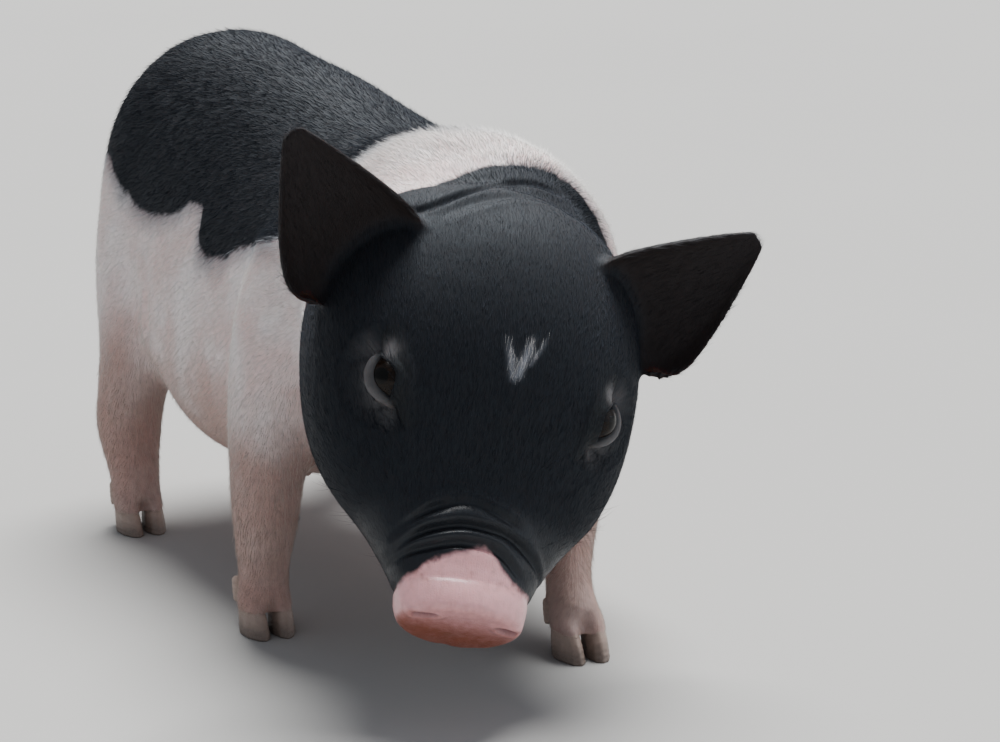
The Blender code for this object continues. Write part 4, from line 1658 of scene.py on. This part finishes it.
# Where the black of the neck ends along the body, by the place across it.
NECK_BORDER = Border(
    (
        (-70, -88),
        (-54, -87.3),
        (-44, -92.5),
        (-33, -92.5),
        (-27, -91.5),
        (-21.5, -88.5),
        (-13, -83),
        (-5, -79.3),
        (3, -77),
        (10, -74.8),
        (19, -71.8),
        (26, -70.4),
        (37, -69.8),
        (43, -71.3),
        (50, -74.5),
        (70, -78),
    ),
    (-70.0, 70.0),
    (-100.0, -60.0),
)
# How far the pink of the snout runs up the muzzle, by the place across it.
SNOUT_PEAK = Border(
    (
        (-22, 0),
        (-17, 1),
        (-13, 4.2),
        (-8, 6),
        (-3, 7.6),
        (1.5, 9),
        (4.5, 7.5),
        (8, 4),
        (12, 1.6),
        (17, 0.3),
        (22, 0),
    ),
    (-22.0, 22.0),
    (0.0, 10.0),
)


@dataclass(frozen=True)
class Stroke:
    """A stroke of white bristles in the star, in the head's frame.

    It starts across the brow, leans sideways as it runs back, and goes from low to high along the head.
    """

    start: float
    lean: float
    width: float
    low: float
    high: float
    strength: float


@dataclass(frozen=True)
class Markings:
    """Where the pig is black, where its snout is pink, and its white star, worked out at a place."""

    head: HeadFrame
    saddle_front: float = -45.0
    saddle_round: float = 9.0
    left_shift: float = 9.0
    left_rise: float = 3.0
    left_front: float = 6.0
    neck_lean: float = 0.35
    snout_start: float = 61.0
    star_start: float = -10.0
    strokes: tuple[Stroke, ...] = (
        Stroke(1.0, -0.30, 1.15, -1.5, 10.0, 0.8),
        Stroke(1.8, 0.30, 1.25, -1.0, 11.5, 1.0),
        Stroke(1.6, 0.04, 0.8, 0.0, 7.0, 0.5),
        Stroke(3.0, 0.50, 0.8, 3.0, 12.5, 0.6),
    )

    def masks(self, tree: Tree, place: Wire, soft: float, scatter: Number = 0.0) -> dict[str, Wire]:
        """Work out the markings.

        Args:
            tree: The material's tree.
            place: A place in the row's frame, in millimetres.
            soft: Width of a border.
            scatter: How far a bristle is out of its place in the pattern.

        Returns:
            The masks, by name.
        """
        x, y, z = place.split()
        ragged = tree.noise(place, 0.16, 3.0) * 7.0 + tree.noise(place, 0.7, 2.0) * 2.5 + scatter
        neck = NECK_BORDER.at(tree, x) - (100.0 - z).math("MAXIMUM", 0.0) * self.neck_lean
        local = self.local(tree, place)
        low = z.step(40.0, 44.0).math("MAXIMUM", local[2].step(-31.0, -27.0))
        ahead = (neck - y + ragged * 0.5).step(-soft, soft) * low
        left = x.step(-2.0, 2.0)
        over = z - (SADDLE_BORDER.at(tree, y + left * self.left_shift) + left * self.left_rise)
        behind = y - (self.saddle_front - left * self.left_front)
        over = over.math("SMOOTH_MIN", behind, self.saddle_round) + ragged * 0.6
        saddle = over.step(-soft, soft)
        dark = (tree.attribute("dark") + ragged * 0.06).step(0.5 - soft * 0.15, 0.5 + soft * 0.15)
        black = ahead.math("MAXIMUM", saddle).math("MAXIMUM", dark)
        return {
            "black": black,
            "fringe": over.step(-10.0, 3.0),
            "star": self.star(tree, local),
            "snout": self.snout(tree, local, ragged, soft),
        }

    def local(self, tree: Tree, place: Wire) -> tuple[Wire, Wire, Wire]:
        """The place in the head's frame.

        Args:
            tree: The material's tree.
            place: The place in the row's frame.

        Returns:
            Its three numbers.
        """
        moved = place.vector("SUBTRACT", tuple(self.head.centre))
        columns = self.head.rotation.transposed()
        return tuple(moved.vector("DOT_PRODUCT", tuple(row), output="Value") for row in columns)

    def star(self, tree: Tree, local: tuple[Wire, Wire, Wire]) -> Wire:
        """A few white bristles on the brow, in strokes that part upwards, from 0 to 1.

        Args:
            tree: The material's tree.
            local: The place in the head's frame.

        Returns:
            How white the place is.
        """
        x, y, z = local
        streaks = tree.add("ShaderNodeCombineXYZ", {}, {0: x * 1.5, 1: y * 0.25, 2: z * 0.25})
        back = y - self.star_start
        found: Number = 0.0
        for stroke in self.strokes:
            line = (x - stroke.start - back * stroke.lean).bell(stroke.width) * stroke.strength
            line = line * back.step(stroke.low, stroke.low + 2.5)
            line = line * (1 - back.step(stroke.high - 6.0, stroke.high + 2.0))
            found = line.math("MAXIMUM", found)
        return (found + tree.noise(streaks, 1.0, 2.0) * 1.2 * found) * z.step(20.0, 25.0)

    def snout(self, tree: Tree, local: tuple[Wire, Wire, Wire], ragged: Wire, soft: float) -> Wire:
        """The bare pink of the snout, which runs to a peak on the muzzle.

        Args:
            tree: The material's tree.
            local: The place in the head's frame.
            ragged: How far the border strays.
            soft: Width of the border.

        Returns:
            How pink the place is.
        """
        x, y, z = local
        border = self.snout_start - SNOUT_PEAK.at(tree, x) * z.step(0.0, 6.0)
        return (-y - border + ragged * 0.4).step(-soft, soft)


@dataclass(frozen=True)
class SkinFinish:
    """Skin: pink under the white coat, black under the black one, and moist pink on the snout."""

    markings: Markings
    pink: Colour = (0.76, 0.56, 0.54)
    pale: Colour = (0.88, 0.81, 0.81)
    tan: Colour = (0.36, 0.19, 0.14)
    black: Colour = (0.013, 0.0135, 0.016)
    ear: Colour = (0.019, 0.013, 0.011)
    lids: Colour = (0.016, 0.016, 0.016)
    lid_painted_highlight: Colour = (0.20, 0.19, 0.195)
    snout_light: Colour = (0.96, 0.50, 0.52)
    snout_deep: Colour = (0.28, 0.08, 0.045)
    # Painted shade of the nostrils' hollows.
    nostril: Colour = (0.015, 0.004, 0.003)
    blush: Colour = (0.50, 0.22, 0.19)
    fringe: Colour = (0.14, 0.15, 0.18)
    star: Colour = (0.42, 0.45, 0.52)
    specks: Colour = (0.02, 0.012, 0.01)

    def material(self) -> bpy.types.Material:
        """Build the material.

        Returns:
            The material.
        """
        material, tree = material_tree("skin")
        place = tree.coordinates().scaled(1 / MM)
        masks = self.markings.masks(tree, place, 1.2)
        z = place.split()[2]
        broad = tree.noise(place, 0.05, 4.0)
        fine = tree.noise(place, 0.5, 3.0)
        white = tree.mix((broad * 1.3 + 0.5).step(0.2, 0.8), self.pink, self.pale)
        # Painted shade: the skin turns darker and browner towards the bottom of the body and down the legs.
        low = 1 - (z + broad * 30.0).step(45.0, 85.0)
        white = tree.mix(low * 0.7, white, self.tan)
        white = tree.mix(masks["fringe"] * 0.7, white, self.fringe)
        rim = (tree.attribute("lid_edge") + fine * 2.0 - 2.0).bell(2.4)
        black = tree.mix(rim, tree.mix(tree.attribute("ear"), self.black, self.ear), self.lids)
        # Painted highlight: light grey on the lower lid's roll and on the spot behind the eye's corner.
        black = tree.mix(tree.attribute("lid_light") * (0.8 + fine), black, self.lid_painted_highlight)
        colour = tree.mix(masks["black"], white, black)
        colour = tree.mix(masks["star"] * masks["black"] * 0.4, colour, self.star)
        local = self.markings.local(tree, place)
        # Deeper red on the disc's front face: partly its own colour, partly painted shade, darkest at its
        # lower edge.
        bare = tree.mix(tree.attribute("face") + fine * 0.4, self.snout_light, self.snout_deep)
        hole = tree.attribute("hole")
        behind = 1 - (-local[1]).step(61.0, 63.5)
        bare = tree.mix((broad + fine * 0.5 + 0.5).step(0.45, 0.75) * behind * 0.6, bare, self.blush)
        # Painted shade: the nostrils are painted nearly black, where their hollows fall into shade.
        bare = tree.mix(hole, bare, self.nostril)
        colour = tree.mix(masks["snout"], colour, bare)
        specks = (fine + 0.5).step(0.3, 0.9) * (0.25 - masks["snout"] * 0.2)
        colour = tree.mix(specks, colour, self.specks)
        moist = (-local[1]).step(38.0, 46.0)
        rough = 0.56 + masks["black"] * 0.1 - masks["snout"] * 0.2 + fine * 0.12 + hole * 0.4 - moist * 0.12
        height = self.grain(tree, place, local, masks["snout"])
        bump = tree.add("ShaderNodeBump", {}, {"Strength": 0.4, "Distance": 0.0006, "Height": height})
        constants = {
            "Subsurface Weight": 0.12,
            "Subsurface Radius": (1.0, 0.35, 0.2),
            "Subsurface Scale": 0.003,
            "Specular IOR Level": 0.2,
            # A bluish specular tint stands in for a reflected sky: a painted reflection colour.
            "Specular Tint": (0.6, 0.8, 1.0, 1.0),
            "Coat Roughness": 0.25,
        }
        wet = (masks["snout"] + moist * 0.7) * (1 - hole) * 0.4
        varying = {"Base Color": colour, "Roughness": rough, "Coat Weight": wet, "Normal": bump}
        finish_material(tree, constants, varying)
        return material

    def grain(self, tree: Tree, place: Wire, local: tuple[Wire, Wire, Wire], snout: Wire) -> Wire:
        """Height of the skin's grain: fine lines along the lie of the coat, and pores.

        Args:
            tree: The material's tree.
            place: The place in the row's frame.
            local: The place in the head's frame.
            snout: How pink the place is.

        Returns:
            The height, for a Bump node.
        """
        x, y, z = place.split()
        along_body = tree.add("ShaderNodeCombineXYZ", {}, {0: x * 2.2, 1: y * 0.25, 2: z * 2.2})
        across, ahead, up = local
        along_head = tree.add("ShaderNodeCombineXYZ", {}, {0: across * 2.8, 1: ahead * 0.2, 2: up * 1.2})
        body, head = tree.noise(along_body, 1.0, 3.0), tree.noise(along_head, 1.0, 3.0)
        on_head = 1 - y.step(-95.0, -75.0)
        lines = body + on_head * (head - body)
        cells = {"Vector": place, "Scale": 1.4}
        pores = tree.add("ShaderNodeTexVoronoi", {"feature": "DISTANCE_TO_EDGE"}, cells, "Distance")
        return lines * 0.8 + pores * (0.06 + snout * 0.45)


@dataclass(frozen=True)
class BristleFinish:
    """Bristles, black or white by where they are rooted, each a little lighter or darker."""

    markings: Markings
    black: Colour = (0.012, 0.013, 0.016)
    # Partly the bristles' own greyer tone, partly a painted bluish sheen.
    grey: Colour = (0.036, 0.040, 0.056)
    white: Colour = (0.96, 0.95, 0.95)
    cream: Colour = (0.86, 0.81, 0.77)
    tan: Colour = (0.42, 0.28, 0.22)
    fringe: Colour = (0.24, 0.28, 0.34)
    ear: Colour = (0.024, 0.018, 0.015)
    # Painted rim light on the bristles of the ears' rims.
    rim: Colour = (0.13, 0.13, 0.135)

    def material(self) -> bpy.types.Material:
        """Build the material.

        Returns:
            The material.
        """
        material, tree = material_tree("bristles")
        place = tree.attribute("root", "Vector").scaled(1 / MM)
        shade, along = tree.attribute("shade"), tree.attribute("along")
        masks = self.markings.masks(tree, place, 0.35, (shade - 0.5) * 5.0)
        # The lighter grey of the black bristles is partly their own tone and partly a painted bluish sheen.
        dark = tree.mix((shade * 0.7 + along * 0.4).step(0.5, 1.1), self.black, self.grey)
        dark = tree.mix(tree.attribute("ear") * 0.7, dark, self.ear)
        # Painted rim light: bristles on the ears' rims turn lighter grey, as if lit from behind.
        dark = tree.mix(tree.attribute("rim") * shade, dark, self.rim)
        light = tree.mix(shade, self.white, self.cream)
        z = place.split()[2]
        # Painted shade: the white bristles turn darker and browner low on the body and down the legs.
        light = tree.mix((1 - (z + shade * 12.0).step(30.0, 95.0)) * 0.75, light, self.tan)
        light = tree.mix(masks["fringe"] * 0.8, light, self.fringe)
        black = masks["black"] * (1 - (masks["star"] - shade * 0.6).step(0.0, 0.08))
        colour = tree.mix(black, light, dark)
        # The blue specular tint stands in for a reflected sky: a painted reflection colour.
        constants = {"Roughness": 0.58, "Specular IOR Level": 0.18, "Specular Tint": (0.3, 0.55, 1.0, 1.0)}
        finish_material(tree, constants, {"Base Color": colour})
        return material


@dataclass(frozen=True)
class Eye:
    """An eyeball with a bulging front, a dark iris and a round pupil."""

    head: HeadFrame
    side: Side
    radius: float = 7.8
    sunk: float = 0.1
    front: float = 0.7
    front_angle: float = 40.0
    pupil: Colour = (0.002, 0.002, 0.002)
    iris_dark: Colour = (0.003, 0.002, 0.0015)
    iris_light: Colour = (0.014, 0.007, 0.004)
    ring: Colour = (0.008, 0.006, 0.006)
    white: Colour = (0.05, 0.022, 0.016)

    def build(self) -> bpy.types.Object:
        """Make the eyeball's mesh.

        Returns:
            The eyeball.
        """
        bm = bmesh.new()
        ball(bm, Matrix.Identity(4), 64, 48)
        axes = self.head.eye_frame(self.side)
        centre = np.array(self.head.eye_centre(self.side))
        for vert in bm.verts:
            angle = math.degrees(math.acos(max(min(vert.co.z, 1), -1)))
            bulge = self.front * max(1 - (angle / self.front_angle) ** 2, 0) ** 1.5
            vert.co = Vector((centre + (np.array(vert.co) * (self.radius - self.sunk + bulge)) @ axes) * MM)
        bmesh.ops.recalc_face_normals(bm, faces=bm.faces)
        name = f"eyeball_{self.side.label}"
        mesh = bpy.data.meshes.new(name)
        bm.to_mesh(mesh)
        bm.free()
        obj = linked(name, shaded(mesh))
        mesh.materials.append(self.material(name))
        return obj

    def material(self, name: str) -> bpy.types.Material:
        """Build the material: rings of colour round the eye's axis, under a wet surface.

        Args:
            name: The material's name.

        Returns:
            The material.
        """
        material, tree = material_tree(name)
        centre = tuple(self.head.eye_centre(self.side) * MM)
        out = tree.coordinates().vector("SUBTRACT", centre).vector("NORMALIZE")
        axis = tuple(self.head.eye_frame(self.side)[2])
        facing = out.vector("DOT_PRODUCT", axis, output="Value")
        angle = facing.math("ARCCOSINE") * (180 / math.pi)
        threads = tree.noise(out, 14.0, 4.0, 0.6)
        iris = tree.mix((threads * 1.6 + 0.5).step(0.2, 0.9), self.iris_dark, self.iris_light)
        colour = tree.mix(angle.step(15.0, 17.0), self.pupil, iris)
        colour = tree.mix(angle.step(36.0, 43.0), colour, self.ring)
        colour = tree.mix(angle.step(50.0, 62.0), colour, self.white)
        constants = {"Roughness": 0.24, "IOR": 1.25}
        finish_material(tree, constants, {"Base Color": colour})
        return material


@dataclass(frozen=True)
class Claws:
    """The horn of the toes: smooth, faintly ringed, with a rounded edge at the sole."""

    voxel: float = 0.45
    rounds: int = 7
    dewclaw_rounds: int = 21
    swell: float = 0.25
    ring: float = 0.05
    sole: float = 0.02
    old: Colour = (0.16, 0.12, 0.10)
    fresh: Colour = (0.42, 0.31, 0.26)
    dust: Colour = (0.30, 0.24, 0.20)

    def claw(self, limb: str, label: str) -> bpy.types.Object:
        """Make one claw from its solid.

        Args:
            limb: The limb's name.
            label: The claw's name on the foot.

        Returns:
            The claw, as an object for a while.
        """
        piece = linked(label, frame["nodes"][f"{limb}_{label}"].data.copy())
        piece.data.materials.clear()
        bm = bmesh.new()
        bm.from_mesh(piece.data)
        bmesh.ops.remove_doubles(bm, verts=bm.verts, dist=DOUBLES)
        bm.to_mesh(piece.data)
        bm.free()
        remesh = piece.modifiers.new("Remesh", "REMESH")
        remesh.mode = "VOXEL"
        remesh.voxel_size = self.voxel * MM
        smooth = piece.modifiers.new("Smooth", "SMOOTH")
        smooth.iterations = self.dewclaw_rounds if "dewclaw" in label else self.rounds
        applied(piece)
        places, normals = places_of(piece.data), normals_of(piece.data)
        top = places[:, 2].max()
        rings = self.ring * np.sin(places[:, 2] * 4.2) * ramp(top - places[:, 2], 0, 3)
        places += normals * (self.swell + rings)[:, None]
        places[:, 2] = np.maximum(places[:, 2], self.sole)
        set_places(piece.data, places)
        return piece

    def build(self, limb: str) -> bpy.types.Object:
        """Make the four claws of one foot.

        Args:
            limb: The limb's name.

        Returns:
            One piece for the foot.
        """
        whole = bmesh.new()
        for label in self.labels():
            piece = self.claw(limb, label)
            whole.from_mesh(piece.data)
            bpy.data.objects.remove(piece)
        mesh = bpy.data.meshes.new(f"{limb}_claws")
        whole.to_mesh(mesh)
        whole.free()
        return linked(mesh.name, shaded(mesh))

    @staticmethod
    def labels() -> list[str]:
        """Names of the claws of a foot."""
        return [f"{kind}_{side}" for kind in ("claw", "dewclaw") for side in ("left", "right")]

    def material(self) -> bpy.types.Material:
        """Build the horn's material: pinkish grey, darker at the sole, with faint rings and some dust.

        Returns:
            The material.
        """
        material, tree = material_tree("horn")
        place = tree.coordinates().scaled(1 / MM)
        z = place.split()[2]
        broad, fine = tree.noise(place, 0.35, 3.0), tree.noise(place, 1.8, 3.0)
        rings = ((z + broad * 1.5) * 3.6).math("SINE")
        colour = tree.mix((z + broad * 4.0).step(0.0, 8.0), self.old, self.fresh)
        colour = tree.mix((fine + 0.5).step(0.3, 0.8) * 0.4, colour, self.dust)
        height = rings * 0.5 + fine
        bump = tree.add("ShaderNodeBump", {}, {"Strength": 0.35, "Distance": 0.0003, "Height": height})
        rough = 0.48 + fine * 0.3
        finish_material(tree, {}, {"Base Color": colour, "Roughness": rough, "Normal": bump})
        return material


@dataclass(frozen=True)
class Lamp:
    """A soft light from one side of the sky, as wide as its spread in degrees."""

    name: str
    toward: Point
    spread: float
    strength: float
    colour: Colour

    def build(self) -> None:
        """Put the light in the scene."""
        data = bpy.data.lights.new(self.name, "SUN")
        data.angle = math.radians(self.spread)
        data.energy = self.strength
        data.color = self.colour
        lamp = linked(self.name, data)
        lamp.matrix_world = Vector(self.toward).to_track_quat("Z", "Y").to_matrix().to_4x4()


@dataclass(frozen=True)
class Studio:
    """A wide pale floor, soft light from above and behind, and the camera at the photo's angle."""

    camera_place: Point = (-0.3748, -0.7695, 0.2634)
    azimuth: float = -29.0
    elevation: float = 13.0
    lens: float = 100.0
    sensor: float = 36.0
    floor_radius: float = 30.0
    floor_colours: tuple[Colour, Colour] = ((0.36, 0.36, 0.355), (0.38, 0.38, 0.375))
    lamps: tuple[Lamp, ...] = (
        Lamp("above", (0.28, 0.36, 0.89), 35.0, 8.8, (1.0, 0.985, 0.96)),
        Lamp("front", (0.9, -0.7, 0.35), 60.0, 0.7, (0.95, 0.97, 1.0)),
    )
    sky: Colour = (0.86, 0.91, 1.0)
    sky_strength: float = 0.38

    def floor(self) -> bpy.types.Object:
        """The floor, a wide round plate.

        Returns:
            The floor.
        """
        bm = bmesh.new()
        bmesh.ops.create_circle(bm, cap_ends=True, segments=96, radius=self.floor_radius)
        mesh = bpy.data.meshes.new("floor")
        bm.to_mesh(mesh)
        bm.free()
        material, tree = material_tree("floor")
        colour = tree.mix(tree.noise(tree.coordinates(), 3.0) + 0.5, *self.floor_colours)
        finish_material(tree, {"Roughness": 0.85}, {"Base Color": colour})
        mesh.materials.append(material)
        return linked("floor", mesh)

    def world(self) -> None:
        """Light the scene from all round."""
        world = bpy.data.worlds.new("studio")
        world.use_nodes = True
        background = world.node_tree.nodes["Background"]
        background.inputs["Color"].default_value = (*self.sky, 1.0)
        background.inputs["Strength"].default_value = self.sky_strength
        bpy.context.scene.world = world

    def camera(self) -> None:
        """Set the camera at the photo's angle."""
        data = bpy.data.cameras.new("camera")
        data.lens = self.lens
        data.sensor_width = self.sensor
        data.clip_start = 0.01
        camera = linked("camera", data)
        a, e = math.radians(self.azimuth), math.radians(self.elevation)
        back = Vector((math.sin(a) * math.cos(e), -math.cos(a) * math.cos(e), math.sin(e)))
        right = Vector((math.cos(a), math.sin(a), 0))
        matrix = Matrix((right, back.cross(right), back)).transposed().to_4x4()
        matrix.translation = self.camera_place
        camera.matrix_world = matrix
        bpy.context.scene.camera = camera

    def build(self) -> bpy.types.Object:
        """Set the floor, the lights, the world's light and the camera.

        Returns:
            The floor.
        """
        floor = self.floor()
        for lamp in self.lamps:
            lamp.build()
        self.world()
        self.camera()
        return floor


def settle(piece: bpy.types.Object, slot: Slot, *nodes: str) -> None:
    """Let a piece ride on the body and let it stand for solids.

    Args:
        piece: The piece.
        slot: Not used.
        nodes: The solids that it stands for.
    """
    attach(piece, "root")
    if nodes:
        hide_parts(*nodes)
    stands_for = ", ".join(nodes) or "no solid"
    LOG.info("piece %s: %d faces, stands for %s", piece.name, len(piece.data.polygons), stands_for)


def clear_defaults() -> None:
    """Remove what a new file holds besides the solids."""
    kept = set(frame["nodes"].values()) | set(frame["bodies"].values())
    for obj in list(bpy.data.objects):
        if obj not in kept:
            bpy.data.objects.remove(obj)


def main() -> None:
    """Build the studio and every piece, in order."""
    logging.basicConfig(level=logging.INFO, format="%(name)s: %(message)s")
    clear_defaults()
    head = HeadFrame()
    Studio().build()
    skin = Skin(head, Eyelids(), Snout())
    skin_piece = skin.build()
    markings = Markings(head)
    skin_piece.data.materials.clear()
    skin_piece.data.materials.append(SkinFinish(markings).material())
    settle(skin_piece, Slot.WHITE, *skin.nodes())
    for piece, patch in Coat(skin_piece, BristleFinish(markings).material()).build():
        settle(piece, patch.slot)
    for side in Side:
        settle(Eye(head, side).build(), Slot.EYE, f"eye_{side.label}")
    claws = Claws()
    horn = claws.material()
    for limb in LIMBS:
        piece = claws.build(limb)
        piece.data.materials.append(horn)
        settle(piece, Slot.CLAW, *[f"{limb}_{label}" for label in Claws.labels()])


if __name__ == "__main__":
    main()
